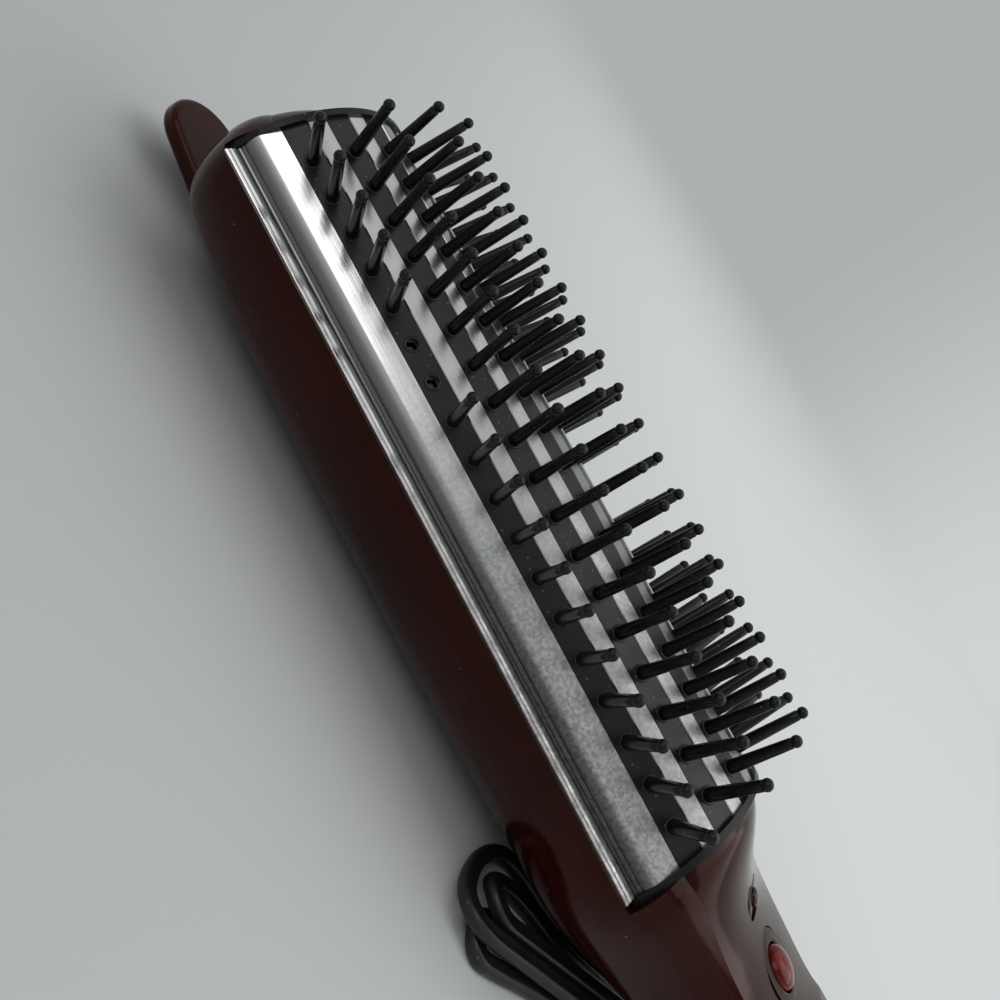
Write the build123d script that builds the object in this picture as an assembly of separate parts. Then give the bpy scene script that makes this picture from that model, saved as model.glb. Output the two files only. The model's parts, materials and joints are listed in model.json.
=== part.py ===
from build123d import *

import math
import os

# Heated styling brush, lying on its back. X runs from the finger tab to the cord,
# Z is up from the surface it lies on, Y is across. All lengths are millimetres.

# Overall lengths along X
tab_reach = 17.2
nose_length = 8.6
cap_thickness = 1.2
plate_length = 131.0
neck_length = 26.8
handle_length = 98.0
bush_flange = 1.5
bush_gap = 0.3

# Head section
head_half_width = 25.0
seam_height = 24.4
belly_depth = 24.6
shell_wall = 2.0
cover_height = 11.0
cover_setback = 10.0
nose_reach = 4.2
nose_wall = 3.0
nose_tip_round = 0.15

# Heating plate, an extrusion with a slot for each bristle strip
dome_radius = 24.0
dome_height = 17.6
row_count = 6
row_pitch = 8.0
slot_width = 4.6
slot_neck_depth = 1.7
slot_base_width = 5.6
slot_depth = 3.4
plate_floor = 2.2
lip_half_width = 24.5
lip_height = 0.3
skirt_waist = (22.3, 1.6)
skirt_shoulder = (21.0, 5.4)
skirt_wall = 1.4
pad_width = 16.0
pad_drop = 3.9

# Bristle strips and pins
slot_clearance = 0.1
strip_recess = 0.3
rail_width = 3.4
rail_height = 1.0
pin_pitch = 7.0
first_pin_margin = 7.0
last_pin_margin = 5.0
missing_pins = {1: (5, 6)}
pin_root_radius = 1.1
pin_neck_radius = 0.75
pin_ball_radius = 1.0
pin_length = 13.5
socket_clearance = 0.1

# End caps
cap_proud = 0.6

# Neck and handle
neck_height = 16.8
nose_height = 13.0
handle_half_width = 17.0
handle_depth = 15.6
handle_rise = 6.4
handle_end_wall = 7.0
grip_run_in = 14.0
handle_end_round = 10.0
front_wall = 1.8

# Finger tab
tab_half_width = 8.5
tab_thickness = 3.8
tab_height = 6.4
tab_tilt = 7.0
tab_root = 24.0
tab_edge = 1.3

# Power button and its ring
button_offset = 27.3
button_radius = 4.5
button_gap = 0.3
button_proud = 0.8
button_dome = 2.3
button_flange_radius = 5.7
button_flange_height = 0.8
button_stem_radius = 1.7
button_travel = 0.5
ring_outer_radius = 6.1
ring_seat_depth = 1.0
ring_proud = 0.5

# Indicator lens
lens_offset = 15.6
lens_length = 4.6
lens_width = 9.0
lens_height = 1.6
lens_sink = 0.9
lens_slope = 25.0
light_pipe_radius = 1.5

# Circuit board and switch
board_start = 14.0
board_length = 36.0
board_width = 23.0
board_thickness = 1.6
board_height = 19.0
switch_side = 6.0
switch_height = 3.5
plunger_radius = 1.6
rib_thickness = 1.6

# Heater stack under the plate
heater_length = 100.0
heater_width = 14.0
heater_height = 4.0
film_thickness = 0.3
clamp_thickness = 1.5
clamp_foot = 5.0
clamp_screw_radius = 1.2
fuse_radius = 2.0
fuse_length = 12.0
carrier_thickness = 1.5
carrier_clearance = 0.3

# Shell screws
screw_stations = (60.0, 104.0)
screw_radius = 1.4
screw_head_radius = 2.8
screw_head_height = 2.0
screw_head_sink = 1.2
screw_bite = 4.0
post_radius = 3.8
screw_clearance = 0.05

# Cord swivel and strain relief
swivel_height = 21.5
journal_radius = 3.95
journal_clearance = 0.05
collar_radius = 5.6
collar_thickness = 2.5
flange_radius = 5.2
relief_length = 22.0
relief_root_radius = 4.0
relief_tip_radius = 2.3

# Mains cord
cord_diameter = 2.8
cord_rest = 0.02
layer_pitch = 3.25
strand_pitch = 3.3

# Plug
plug_length = 36.0
plug_width = 30.0
plug_height = 13.6
plug_nose_width = 12.0
pin_spacing = 19.0
plug_pin_radius = 2.0
plug_pin_length = 19.0

# Stations along X that follow from the lengths
object_length = (
    tab_reach + nose_length + 2 * cap_thickness + plate_length
    + neck_length + handle_length + bush_gap + bush_flange
)
tab_tip_x = -object_length / 2
nose_tip_x = tab_tip_x + tab_reach
tip_cap_x = nose_tip_x + nose_length
plate_x = tip_cap_x + cap_thickness
neck_cap_x = plate_x + plate_length
neck_x = neck_cap_x + cap_thickness
handle_x = neck_x + neck_length
end_x = handle_x + handle_length
cover_end_x = neck_cap_x - cover_setback
grip_x = handle_x + grip_run_in
round_x = end_x - handle_end_round
button_x = neck_x + button_offset
lens_x = neck_x + lens_offset
handle_top_z = seam_height + handle_rise
handle_inner_top_z = handle_top_z - shell_wall

dome_centre_z = seam_height + dome_height - dome_radius
row_angle = math.degrees(row_pitch / dome_radius)
slot_floor_radius = dome_radius - slot_depth
plate_inner_radius = slot_floor_radius - plate_floor
pad_z = seam_height + dome_height - slot_depth - pad_drop
pin_count = int((plate_length - first_pin_margin - last_pin_margin) / pin_pitch) + 1
pin_xs = [plate_x + first_pin_margin + pin_pitch * i for i in range(pin_count)]


def closed_face(*curves):
    """A face bounded by curves that follow one another."""
    return Face(Wire([edge for curve in curves for edge in curve.edges()]))


def across(x):
    """Plane across the object at x, with sketch axes along Y and Z."""
    return Plane(origin=(x, 0, 0), x_dir=(0, 1, 0), z_dir=(1, 0, 0))


def box_between(low, high):
    """Box from its low corner to its high corner."""
    size = [b - a for a, b in zip(low, high)]
    centre = [(a + b) / 2 for a, b in zip(low, high)]
    return Pos(*centre) * Box(*size)


def rod(start, direction, radius, length):
    """Cylinder that starts at a point and runs along a direction."""
    face = Plane(origin=start, z_dir=direction) * Circle(radius)
    return extrude(face, length, dir=direction)


def nose_ratio(x):
    """Share of the full width that the rounded nose has at x."""
    sweep_length = nose_length + nose_reach
    reach = min(1.0, max(0.0, (nose_tip_x + sweep_length - x) / sweep_length))
    return math.sqrt(1 - reach * reach)


# Belly sections as (x, half width, depth below the seam), in runs that meet end to end
def nose_belly():
    nose_depth = belly_depth - 3.0
    stations = []
    for step in (nose_tip_round, 1.2, nose_wall, 5.6, 9.4, nose_length + nose_reach):
        ratio = nose_ratio(nose_tip_x + step)
        depth = nose_depth * (0.25 + 0.75 * ratio)
        stations.append((nose_tip_x + step, head_half_width * ratio, depth))
    return stations


def head_belly():
    return [
        nose_belly()[-1],
        (plate_x + 16.0, head_half_width, belly_depth - 1.2),
        (plate_x + 37.0, head_half_width, belly_depth - 0.3),
        (plate_x + 64.0, head_half_width, belly_depth),
        (plate_x + 87.0, head_half_width, belly_depth - 0.2),
        (neck_cap_x - 26.0, head_half_width, belly_depth - 1.0),
        (cover_end_x, head_half_width, belly_depth - 1.9),
    ]


def neck_belly():
    return [
        head_belly()[-1],
        (neck_x, head_half_width - 0.4, belly_depth - 2.3),
        (neck_x + 4.8, head_half_width - 2.0, belly_depth - 2.8),
        (neck_x + 11.8, handle_half_width + 3.2, belly_depth - 4.0),
        (neck_x + 18.3, handle_half_width + 1.4, handle_depth + 3.3),
        (handle_x, handle_half_width + 0.1, handle_depth + 0.5),
        (grip_x, handle_half_width, handle_depth),
    ]


def grip_belly():
    return [neck_belly()[-1], (round_x, handle_half_width, handle_depth)]


def end_belly():
    return [
        grip_belly()[-1],
        (end_x - 3.0, handle_half_width - 0.7, handle_depth - 0.7),
        (end_x, handle_half_width - 2.6, handle_depth - 2.6),
    ]


# Upper sections as (x, half width, rise above the seam, shoulder share of width and rise)
def nose_crown():
    stations = []
    for step in (nose_tip_round, 1.2, nose_wall, 5.6, nose_length):
        reach = 1 - step / nose_length
        rise = nose_height * math.sqrt(1 - reach * reach)
        half_width = head_half_width * nose_ratio(nose_tip_x + step)
        stations.append((nose_tip_x + step, half_width, rise, 0.77, 0.48))
    return stations


def neck_crown():
    return [
        (neck_x, head_half_width - 0.4, neck_height, 0.78, 0.47),
        (neck_x + 4.8, head_half_width - 2.0, neck_height - 2.0, 0.79, 0.53),
        (neck_x + 11.8, handle_half_width + 3.2, handle_rise + 3.7, 0.82, 0.64),
        (neck_x + 18.3, handle_half_width + 1.4, handle_rise + 1.0, 0.86, 0.74),
        (handle_x, handle_half_width + 0.1, handle_rise, 0.88, 0.80),
        (grip_x, handle_half_width, handle_rise, 0.88, 0.80),
    ]


def grip_crown():
    return [neck_crown()[-1], (round_x, handle_half_width, handle_rise, 0.88, 0.80)]


def end_crown():
    return [
        grip_crown()[-1],
        (end_x - 3.0, handle_half_width - 0.7, handle_rise - 0.2, 0.87, 0.80),
        (end_x, handle_half_width - 2.6, handle_rise - 0.9, 0.84, 0.78),
    ]


def belly_curve(half_width, depth):
    """Half ellipse that hangs from the seam, from left to right."""
    return EllipticalCenterArc(
        (0, seam_height), half_width, depth, start_angle=180, arc_size=180
    )


def crown_curve(half_width, rise, shoulder_y, shoulder_z):
    """Domed curve that stands on the seam, with a soft crease at each shoulder."""
    left = (-half_width, seam_height)
    right = (half_width, seam_height)
    left_shoulder = (-shoulder_y * half_width, seam_height + shoulder_z * rise)
    right_shoulder = (shoulder_y * half_width, seam_height + shoulder_z * rise)
    return Curve() + [
        TangentArc(left, left_shoulder, tangent=(0, 1)),
        ThreePointArc(left_shoulder, (0, seam_height + rise), right_shoulder),
        TangentArc(right, right_shoulder, tangent=(0, 1)),
    ]


def filled_section(curve, station, inset=0.0):
    """Section closed along the seam, drawn smaller by the inset."""
    x, half_width, height, *shoulder = station
    a = half_width - inset
    rim = Line((a, seam_height), (-a, seam_height))
    return across(x) * closed_face(curve(a, height - inset, *shoulder), rim)


def wall_section(curve, station):
    """Section of the shell's wall alone, open along the seam."""
    x, half_width, height, *shoulder = station
    a = half_width
    b = half_width - shell_wall
    outer = curve(a, height, *shoulder)
    inner = curve(b, height - shell_wall, *shoulder)
    return across(x) * closed_face(
        outer, Line((a, seam_height), (b, seam_height)), inner, Line((-b, seam_height), (-a, seam_height))
    )


def solid_run(curve, stations, inset=0.0):
    return loft([filled_section(curve, station, inset) for station in stations])


def wall_run(curve, stations):
    return loft([wall_section(curve, station) for station in stations])


def station_at(stations, x):
    """Section at x on the straight line between its neighbours."""
    for low, high in zip(stations, stations[1:]):
        if low[0] <= x <= high[0]:
            share = (x - low[0]) / (high[0] - low[0])
            return (x,) + tuple(a + share * (b - a) for a, b in zip(low[1:], high[1:]))
    raise ValueError("no section there")


def cover_zone():
    """Space that belongs to the back cover."""
    return box_between(
        (tab_tip_x - 1, -head_half_width - 1, -5),
        (cover_end_x, head_half_width + 1, cover_height),
    )


def below_floor():
    return box_between((tab_tip_x, -head_half_width, -5), (end_x, head_half_width, 0))


def finger_tab():
    """Flat tongue with round ends and soft edges, its tip tilted up a little."""
    length = tab_reach + tab_root
    slot = SlotOverall(length, 2 * tab_half_width)
    tongue = extrude(slot, tab_thickness)
    tongue = fillet(tongue.edges(), tab_edge)
    tongue = Rot(Y=tab_tilt) * Pos(0, 0, -tab_thickness / 2) * tongue
    lean = math.radians(tab_tilt)
    flat_reach = (length / 2 - tab_edge) * math.cos(lean)
    reach = flat_reach + (tab_thickness / 2 - tab_edge) * math.sin(lean) + tab_edge
    return Pos(tab_tip_x + reach, 0, tab_height) * tongue


def screw_xs():
    return [neck_x + station for station in screw_stations]


def nose_walls():
    """Solid tip of the nose and the walled run behind it, below the seam."""
    stations = nose_belly()
    return [solid_run(belly_curve, stations[:3]), wall_run(belly_curve, stations[2:])]


def build_back_cover():
    """Shallow cover of the head's back, with the finger tab rooted in its wall."""
    walls = nose_walls() + [wall_run(belly_curve, head_belly())]
    cover = [wall & cover_zone() for wall in walls]
    tab = finger_tab()
    tab -= solid_run(belly_curve, nose_belly()[2:], shell_wall / 2)
    tab -= solid_run(belly_curve, head_belly(), shell_wall / 2)
    tab = tab.solids().sort_by(Axis.X)[0]
    return cover[0] + cover[1:] + tab - below_floor()


def build_back_shell():
    """Trough of the head with its nose, and the lower half of neck and handle."""
    front, behind = nose_walls()
    nose = [front - cover_zone(), behind - cover_zone()]
    nose.append(solid_run(crown_curve, nose_crown()[:3]))
    nose.append(wall_run(crown_curve, nose_crown()[2:]))
    head = wall_run(belly_curve, head_belly()) - cover_zone()
    head_fill = solid_run(belly_curve, head_belly(), shell_wall / 2)
    for x in carrier_rib_xs():
        rib = box_between(
            (x, -head_half_width, cover_height), (x + rib_thickness, head_half_width, carrier_z())
        )
        head += rib & head_fill
    neck = wall_run(belly_curve, neck_belly())
    neck += board_rib(board_rib_xs()[0]) & solid_run(belly_curve, neck_belly(), shell_wall / 2)
    grip = wall_run(belly_curve, grip_belly())
    grip_fill = solid_run(belly_curve, grip_belly(), shell_wall / 2)
    grip += board_rib(board_rib_xs()[1]) & grip_fill
    for x in screw_xs():
        grip += rod((x, 0, 0), (0, 0, 1), post_radius, seam_height) & grip_fill
    for x in screw_xs():
        grip -= rod((x, 0, 0), (0, 0, 1), screw_radius + screw_clearance, seam_height + 1)
        grip -= rod((x, 0, 0), (0, 0, 1), screw_head_radius + screw_clearance, screw_seat_z())
    end = handle_end(belly_curve, end_belly())
    return nose[0] + nose[1:] + [head, neck, grip, end]


def handle_end(curve, stations):
    """Rounded end of a handle half: wall, then the solid end with the swivel's bore."""
    wall_x = end_x - handle_end_wall
    inner = [stations[0], station_at(stations, wall_x)]
    end = wall_run(curve, inner) + solid_run(curve, [inner[1]] + stations[1:])
    return end - journal_bore()


def board_rib(x):
    return box_between((x, -head_half_width, 0), (x + rib_thickness, head_half_width, board_height))


def screw_seat_z():
    """Height that the shell screws' heads bear on."""
    return seam_height - handle_depth + screw_head_sink + screw_head_height


def carrier_z():
    """Underside of the plate carrier."""
    return seam_height - carrier_thickness


def carrier_rib_xs():
    return [plate_x + share * plate_length for share in (0.13, 0.5, 0.87)]


def board_rib_xs():
    first = neck_x + board_start + 3.0
    return [first, first + board_length - 6.0 - rib_thickness]


def journal_bore():
    return rod((end_x - handle_end_wall - 1, 0, swivel_height), (1, 0, 0),
               journal_radius + journal_clearance, handle_end_wall + 2)


def build_front_shell():
    """Upper half of neck and handle, closed by a thin wall towards the plate."""
    stations = neck_crown()
    first = [stations[0], station_at(stations, neck_x + front_wall)]
    neck = solid_run(crown_curve, first) + wall_run(crown_curve, [first[1]] + stations[1:])
    neck -= rod((button_x, 0, seam_height), (0, 0, 1), button_radius + button_gap, handle_rise + 5)
    neck -= rod((button_x, 0, handle_top_z - ring_seat_depth), (0, 0, 1),
                ring_outer_radius, ring_seat_depth + 5)
    neck -= lens_frame() * lens_block(lens_height + 4)
    neck -= light_pipe(light_pipe_radius + 0.1)
    grip = wall_run(crown_curve, grip_crown())
    grip_fill = solid_run(crown_curve, grip_crown(), shell_wall / 2)
    for x in screw_xs():
        grip += rod((x, 0, seam_height), (0, 0, 1), post_radius, handle_rise) & grip_fill
        grip -= rod((x, 0, seam_height - 1), (0, 0, 1), screw_radius + screw_clearance,
                    screw_bite + 1 + screw_clearance)
    return neck + [grip, handle_end(crown_curve, end_crown())]


def lens_frame():
    """Frame on the sloping neck, with its origin in the floor of the lens pocket."""
    top = seam_height + station_at(neck_crown(), lens_x)[2]
    return Pos(lens_x, 0, top) * Rot(Y=lens_slope) * Pos(0, 0, -lens_sink)


def lens_block(height):
    outline = RectangleRounded(lens_length, lens_width, lens_length / 2 - 0.3)
    return extrude(outline, height)


def light_pipe(radius):
    bottom = board_height + board_thickness + 0.3
    top = (lens_frame() * Pos(0, 0, 0.2)).position.Z
    return rod((lens_x, 0, bottom), (0, 0, 1), radius, top - bottom)


def build_display_lens():
    return lens_frame() * lens_block(lens_height) + light_pipe(light_pipe_radius)


def build_button_ring():
    seat = handle_top_z - ring_seat_depth
    ring = rod((button_x, 0, seat), (0, 0, 1), ring_outer_radius, ring_seat_depth + ring_proud)
    bore = rod((button_x, 0, seat - 1), (0, 0, 1), button_radius + button_gap, ring_seat_depth + 5)
    return ring - bore


def build_power_button():
    """Domed cap with a retaining flange under the shell and a stem over the switch."""
    flange_top = handle_inner_top_z - button_gap
    flange_low = flange_top - button_flange_height
    rim = handle_top_z + button_proud
    stem_low = switch_top_z() + button_travel + button_gap
    profile = closed_face(
        Polyline(
            (0, stem_low), (button_stem_radius, stem_low), (button_stem_radius, flange_low),
            (button_flange_radius, flange_low), (button_flange_radius, flange_top),
            (button_radius, flange_top), (button_radius, rim),
        ),
        RadiusArc((button_radius, rim), (0, rim + button_dome), -dome_arc_radius()),
        Line((0, rim + button_dome), (0, stem_low)),
    )
    turned = revolve(Plane.XZ * profile, Axis.Z)
    return Pos(button_x, 0, 0) * turned


def dome_arc_radius():
    """Radius of the arc that rises by the dome's height over the button's radius."""
    return (button_radius ** 2 + button_dome ** 2) / (2 * button_dome)


def switch_top_z():
    return board_height + board_thickness + switch_height + 1.0


def build_circuit_board():
    return box_between(
        (neck_x + board_start, -board_width / 2, board_height),
        (neck_x + board_start + board_length, board_width / 2, board_height + board_thickness),
    )


def build_tact_switch():
    low = board_height + board_thickness
    half = switch_side / 2
    body = box_between((button_x - half, -half, low), (button_x + half, half, low + switch_height))
    return body + rod((button_x, 0, low + switch_height), (0, 0, 1), plunger_radius, 1.0)


def row_frame(row):
    """Frame of a row at the dome's centre, with Z out through the row."""
    angle = (row - (row_count + 1) / 2) * row_angle
    return Pos(0, 0, dome_centre_z) * Rot(X=-angle)


def dome_point(radius, degrees):
    angle = math.radians(degrees)
    return (radius * math.sin(angle), dome_centre_z + radius * math.cos(angle))


def tee_outline(neck_width, base_width, low, step, high):
    """Upside-down T about the radial axis."""
    n = neck_width / 2
    b = base_width / 2
    return Polyline(
        (-b, low), (b, low), (b, step), (n, step), (n, high), (-n, high), (-n, step), (-b, step),
        (-b, low),
    )


def plate_outline(grow, flared):
    """Half outline points of the plate's flank, from the seam up to the dome's edge."""
    edge_angle = row_angle * (row_count - 1) / 2 + math.degrees(slot_width / 2 / dome_radius)
    waist_y, waist_z = skirt_waist
    shoulder_y, shoulder_z = skirt_shoulder
    edge = dome_point(dome_radius + grow, edge_angle)
    lip = [(lip_half_width, seam_height), (lip_half_width, seam_height + lip_height)]
    plain = [(waist_y + grow, seam_height)]
    return (lip if flared else plain) + [
        (waist_y + grow, seam_height + waist_z),
        (shoulder_y + grow, seam_height + shoulder_z),
        edge,
    ]


def mirrored(points):
    return [(-y, z) for y, z in reversed(points)]


def build_heating_plate():
    """Extrusion: domed face with T slots, side skirts with a lip, heater pad inside."""
    flank = plate_outline(0.0, True)
    crest = (0, dome_centre_z + dome_radius)
    inner_edge = dome_point(plate_inner_radius, row_angle * (row_count - 1) / 2)
    inner = [
        (skirt_waist[0] - skirt_wall, seam_height),
        (skirt_shoulder[0] - skirt_wall, seam_height + skirt_shoulder[1] - 2.4),
        (inner_edge[0] + 1.8, inner_edge[1] - 1.8),
        inner_edge,
    ]
    inner_crest = (0, dome_centre_z + plate_inner_radius)
    section = closed_face(
        Polyline(*flank),
        ThreePointArc(flank[-1], crest, mirrored(flank)[0]),
        Polyline(*mirrored(flank)),
        Line(mirrored(flank)[-1], mirrored(inner)[-1]),
        Polyline(*reversed(mirrored(inner))),
        ThreePointArc(mirrored(inner)[0], inner_crest, inner[-1]),
        Polyline(*reversed(inner)),
        Line(inner[0], flank[0]),
    )
    pad_top = inner_crest[1] + 0.5
    pad = closed_face(Polyline(
        (-pad_width / 2, pad_z), (pad_width / 2, pad_z), (pad_width / 2, pad_top - 2.0),
        (0, pad_top), (-pad_width / 2, pad_top - 2.0), (-pad_width / 2, pad_z),
    ))
    section = across(plate_x) * (section + pad)
    plate = extrude(section, plate_length, dir=(1, 0, 0))
    slot = closed_face(tee_outline(
        slot_width, slot_base_width, slot_floor_radius, dome_radius - slot_neck_depth,
        dome_radius + 2,
    ))
    for row in range(1, row_count + 1):
        cutter = extrude(across(plate_x - 1) * slot, plate_length + 2, dir=(1, 0, 0))
        plate -= row_frame(row) * cutter
    for x in clamp_screw_xs():
        plate -= rod((x, 0, pad_z - 1), (0, 0, 1), clamp_screw_radius + screw_clearance, 4.0)
    return plate


def hexagon(radius, z):
    return Pos(0, 0, z) * RegularPolygon(radius, 6)


def build_strip(row):
    """T strip in its slot, with a rail channel below and a socket for each pin."""
    low = slot_floor_radius
    step = dome_radius - slot_neck_depth - slot_clearance
    tee = closed_face(tee_outline(
        slot_width - 2 * slot_clearance, slot_base_width - 2 * slot_clearance, low, step,
        dome_radius - strip_recess,
    ))
    strip = extrude(across(plate_x) * tee, plate_length, dir=(1, 0, 0))
    channel_half = rail_width / 2 + slot_clearance
    strip -= box_between(
        (plate_x - 1, -channel_half, low - 1),
        (plate_x + plate_length + 1, channel_half, low + rail_height + slot_clearance),
    )
    socket = extrude(hexagon(pin_root_radius + socket_clearance, low), slot_depth)
    strip -= [Pos(x, 0, 0) * socket for x in pin_xs]
    return row_frame(row) * strip


def bristle_pin():
    """Six-sided pin: tapered shaft and ball tip, from inside the rail outwards."""
    ball = dome_radius + pin_length - pin_ball_radius
    sections = [
        hexagon(pin_root_radius, slot_floor_radius + rail_height / 2),
        hexagon(pin_neck_radius, ball - pin_ball_radius),
        hexagon(pin_ball_radius, ball),
        hexagon(pin_ball_radius * 0.5, dome_radius + pin_length),
    ]
    return loft(sections, ruled=True)


def build_pin_row(row):
    """Moulded comb: the row's pins on one rail that lies under the strip."""
    rail = box_between(
        (plate_x, -rail_width / 2, slot_floor_radius),
        (plate_x + plate_length, rail_width / 2, slot_floor_radius + rail_height),
    )
    absent = missing_pins.get(row, ())
    pin = bristle_pin()
    pins = [Pos(x, 0, 0) * pin for i, x in enumerate(pin_xs) if i not in absent]
    return row_frame(row) * (rail + pins)


def build_end_cap(x):
    """Thin closing cap that follows the plate's outline and stands a little proud."""
    flank = plate_outline(cap_proud, False)
    crest = (0, dome_centre_z + dome_radius + cap_proud)
    section = closed_face(
        Polyline(*flank),
        ThreePointArc(flank[-1], crest, mirrored(flank)[0]),
        Polyline(*mirrored(flank)),
        Line(mirrored(flank)[-1], flank[0]),
    )
    return extrude(across(x) * section, cap_thickness, dir=(1, 0, 0))


def build_plate_carrier():
    half = head_half_width - shell_wall - carrier_clearance
    return box_between(
        (plate_x + 3.0, -half, carrier_z()), (neck_cap_x - 1.0, half, seam_height),
    )


def heater_span():
    middle = plate_x + plate_length / 2
    return middle - heater_length / 2, middle + heater_length / 2


def clamp_screw_xs():
    start, end = heater_span()
    return [start - clamp_foot / 2 - 0.5, end + clamp_foot / 2 + 0.5]


def build_heater_film():
    start, end = heater_span()
    return box_between((start, -heater_width / 2, pad_z - film_thickness),
                       (end, heater_width / 2, pad_z))


def build_heater_bar():
    start, end = heater_span()
    top = pad_z - film_thickness
    return box_between((start, -heater_width / 2, top - heater_height), (end, heater_width / 2, top))


def clamp_low_z():
    return pad_z - film_thickness - heater_height - clamp_thickness


def build_heater_clamp():
    """Bridge under the heater with a screwed foot at each end."""
    start, end = heater_span()
    reach = clamp_foot + 0.5
    half = heater_width / 2
    clamp = box_between((start - reach, -half, clamp_low_z()), (end + reach, half, pad_z))
    clamp -= box_between((start - 0.4, -half - 1, clamp_low_z() + clamp_thickness),
                         (end + 0.4, half + 1, pad_z + 1))
    for x in clamp_screw_xs():
        clamp -= rod((x, 0, clamp_low_z() - 1), (0, 0, 1), clamp_screw_radius + screw_clearance, 12)
    return clamp


def build_clamp_screws():
    screws = []
    for x in clamp_screw_xs():
        head = rod((x, 0, clamp_low_z() - 1.2), (0, 0, 1), 2.2, 1.2)
        shank_length = pad_z - clamp_low_z() + 2.8
        screws.append(head + rod((x, 0, clamp_low_z()), (0, 0, 1), clamp_screw_radius, shank_length))
    return Compound(screws)


def build_thermal_fuse():
    x = plate_x + plate_length / 2 - fuse_length / 2
    return rod((x, 0, clamp_low_z() - fuse_radius), (1, 0, 0), fuse_radius, fuse_length)


def build_shell_screws():
    screws = []
    for x in screw_xs():
        seat = screw_seat_z()
        head = rod((x, 0, seat - screw_head_height), (0, 0, 1), screw_head_radius, screw_head_height)
        shank = rod((x, 0, seat), (0, 0, 1), screw_radius, seam_height + screw_bite - seat)
        screws.append(head + shank)
    return Compound(screws)


def build_swivel_bush():
    """Journal in the handle's end wall, held by a collar inside and a flange outside."""
    inner_face = end_x - handle_end_wall
    collar_x = inner_face - bush_gap - collar_thickness
    bush = rod((collar_x, 0, swivel_height), (1, 0, 0), collar_radius, collar_thickness)
    bush += rod((collar_x, 0, swivel_height), (1, 0, 0), journal_radius,
                end_x + bush_gap - collar_x)
    bush += rod((end_x + bush_gap, 0, swivel_height), (1, 0, 0), flange_radius, bush_flange)
    return bush


def relief_x():
    return end_x + bush_gap + bush_flange


def build_strain_relief():
    """Tapered sleeve with shallow grooves."""
    start = Plane(origin=(relief_x(), 0, swivel_height), z_dir=(1, 0, 0))
    end = Plane(origin=(relief_x() + relief_length, 0, swivel_height), z_dir=(1, 0, 0))
    sleeve = loft([start * Circle(relief_root_radius), end * Circle(relief_tip_radius)])
    for i in range(4):
        x = relief_x() + 5.0 + 4.4 * i
        groove = rod((x, 0, swivel_height), (1, 0, 0), relief_root_radius + 1, 1.6)
        sleeve -= groove - rod((x, 0, swivel_height), (1, 0, 0),
                               relief_tip_radius + 0.6 - 0.15 * i, 1.6)
    return sleeve


# Cord. The hank is drawn in its own frame: s runs along it, n across it.
hank_heading = 33.0
floor_layer = cord_diameter / 2 + cord_rest
top_layer = floor_layer + layer_pitch
hank_start = 92.0
hank_turn = 225.0
fold_radius = 2.9
fold_s = 87.6
first_run_n = -85.0
second_run_n = first_run_n - strand_pitch
third_run_n = second_run_n - 2 * fold_radius
fourth_run_n = third_run_n - strand_pitch
inner_leg_n = first_run_n + 3.7
outer_leg_n = inner_leg_n + 2 * fold_radius


def hank_point(s, n, z):
    """From the hank's frame, which is fixed to the plate, to the object's."""
    angle = math.radians(hank_heading)
    x = s * math.cos(angle) - n * math.sin(angle)
    y = s * math.sin(angle) + n * math.cos(angle)
    return Vector(plate_x + 7.0 + x, y, z)


def hank_direction(sign):
    angle = math.radians(hank_heading)
    return Vector(sign * math.cos(angle), sign * math.sin(angle), 0)


def biarc(start, start_dir, end, end_dir):
    """Two arcs, or a line, from one point and direction to another."""
    chord = end - start
    along = start_dir.dot(end_dir)
    if chord.normalized().cross(start_dir).length < 1e-6 and along > 0.999999:
        return [Line(start, end)]
    total = start_dir + end_dir
    square = chord.dot(chord)
    cross = chord.dot(total)
    if 1 - along < 1e-9:
        reach = square / (2 * cross)
    else:
        root = math.sqrt(cross * cross + 2 * (1 - along) * square)
        reach = (root - cross) / (2 * (1 - along))
    middle = (start + end + (start_dir - end_dir) * reach) * 0.5
    middle_dir = ((end - end_dir * reach) - (start + start_dir * reach)).normalized()
    return [
        TangentArc(start, middle, tangent=start_dir),
        TangentArc(middle, end, tangent=middle_dir),
    ]


def run_edges(stops):
    """Edges through stops, each with its place along, across and up, and its sense."""
    edges = []
    for (s0, n0, z0, d0), (s1, n1, z1, d1) in zip(stops, stops[1:]):
        for curve in biarc(hank_point(s0, n0, z0), hank_direction(d0),
                           hank_point(s1, n1, z1), hank_direction(d1)):
            edges += curve.edges()
    return edges


def leading_run():
    """From the far end along the floor, up and over to the outer bight."""
    back = -1
    return run_edges([
        (hank_turn, fourth_run_n, floor_layer, back),
        (179.0, fourth_run_n, floor_layer, back),
        (161.0, fourth_run_n, top_layer, back),
        (159.0, fourth_run_n, top_layer, back),
        (127.0, second_run_n, top_layer, back),
        (hank_start, second_run_n, top_layer, back),
    ])


def outer_bight():
    """Down round the near end and out again along the outer leg."""
    f = floor_layer
    return [hank_point(*p) for p in (
        (hank_start, second_run_n, top_layer), (82.9, second_run_n, top_layer),
        (80.4, -84.3, f + 1.4), (81.9, -78.8, f), (84.8, -74.0, f), (89.8, -71.3, f),
        (95.8, -72.2, f), (102.5, -75.5, f), (111.0, -77.1, f), (121.0, -77.65, f),
        (133.0, -77.85, f), (150.0, -78.0, f), (175.0, -77.4, f), (200.0, -76.3, f),
        (213.0, outer_leg_n, f), (hank_turn, outer_leg_n, f),
    )]


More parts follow.
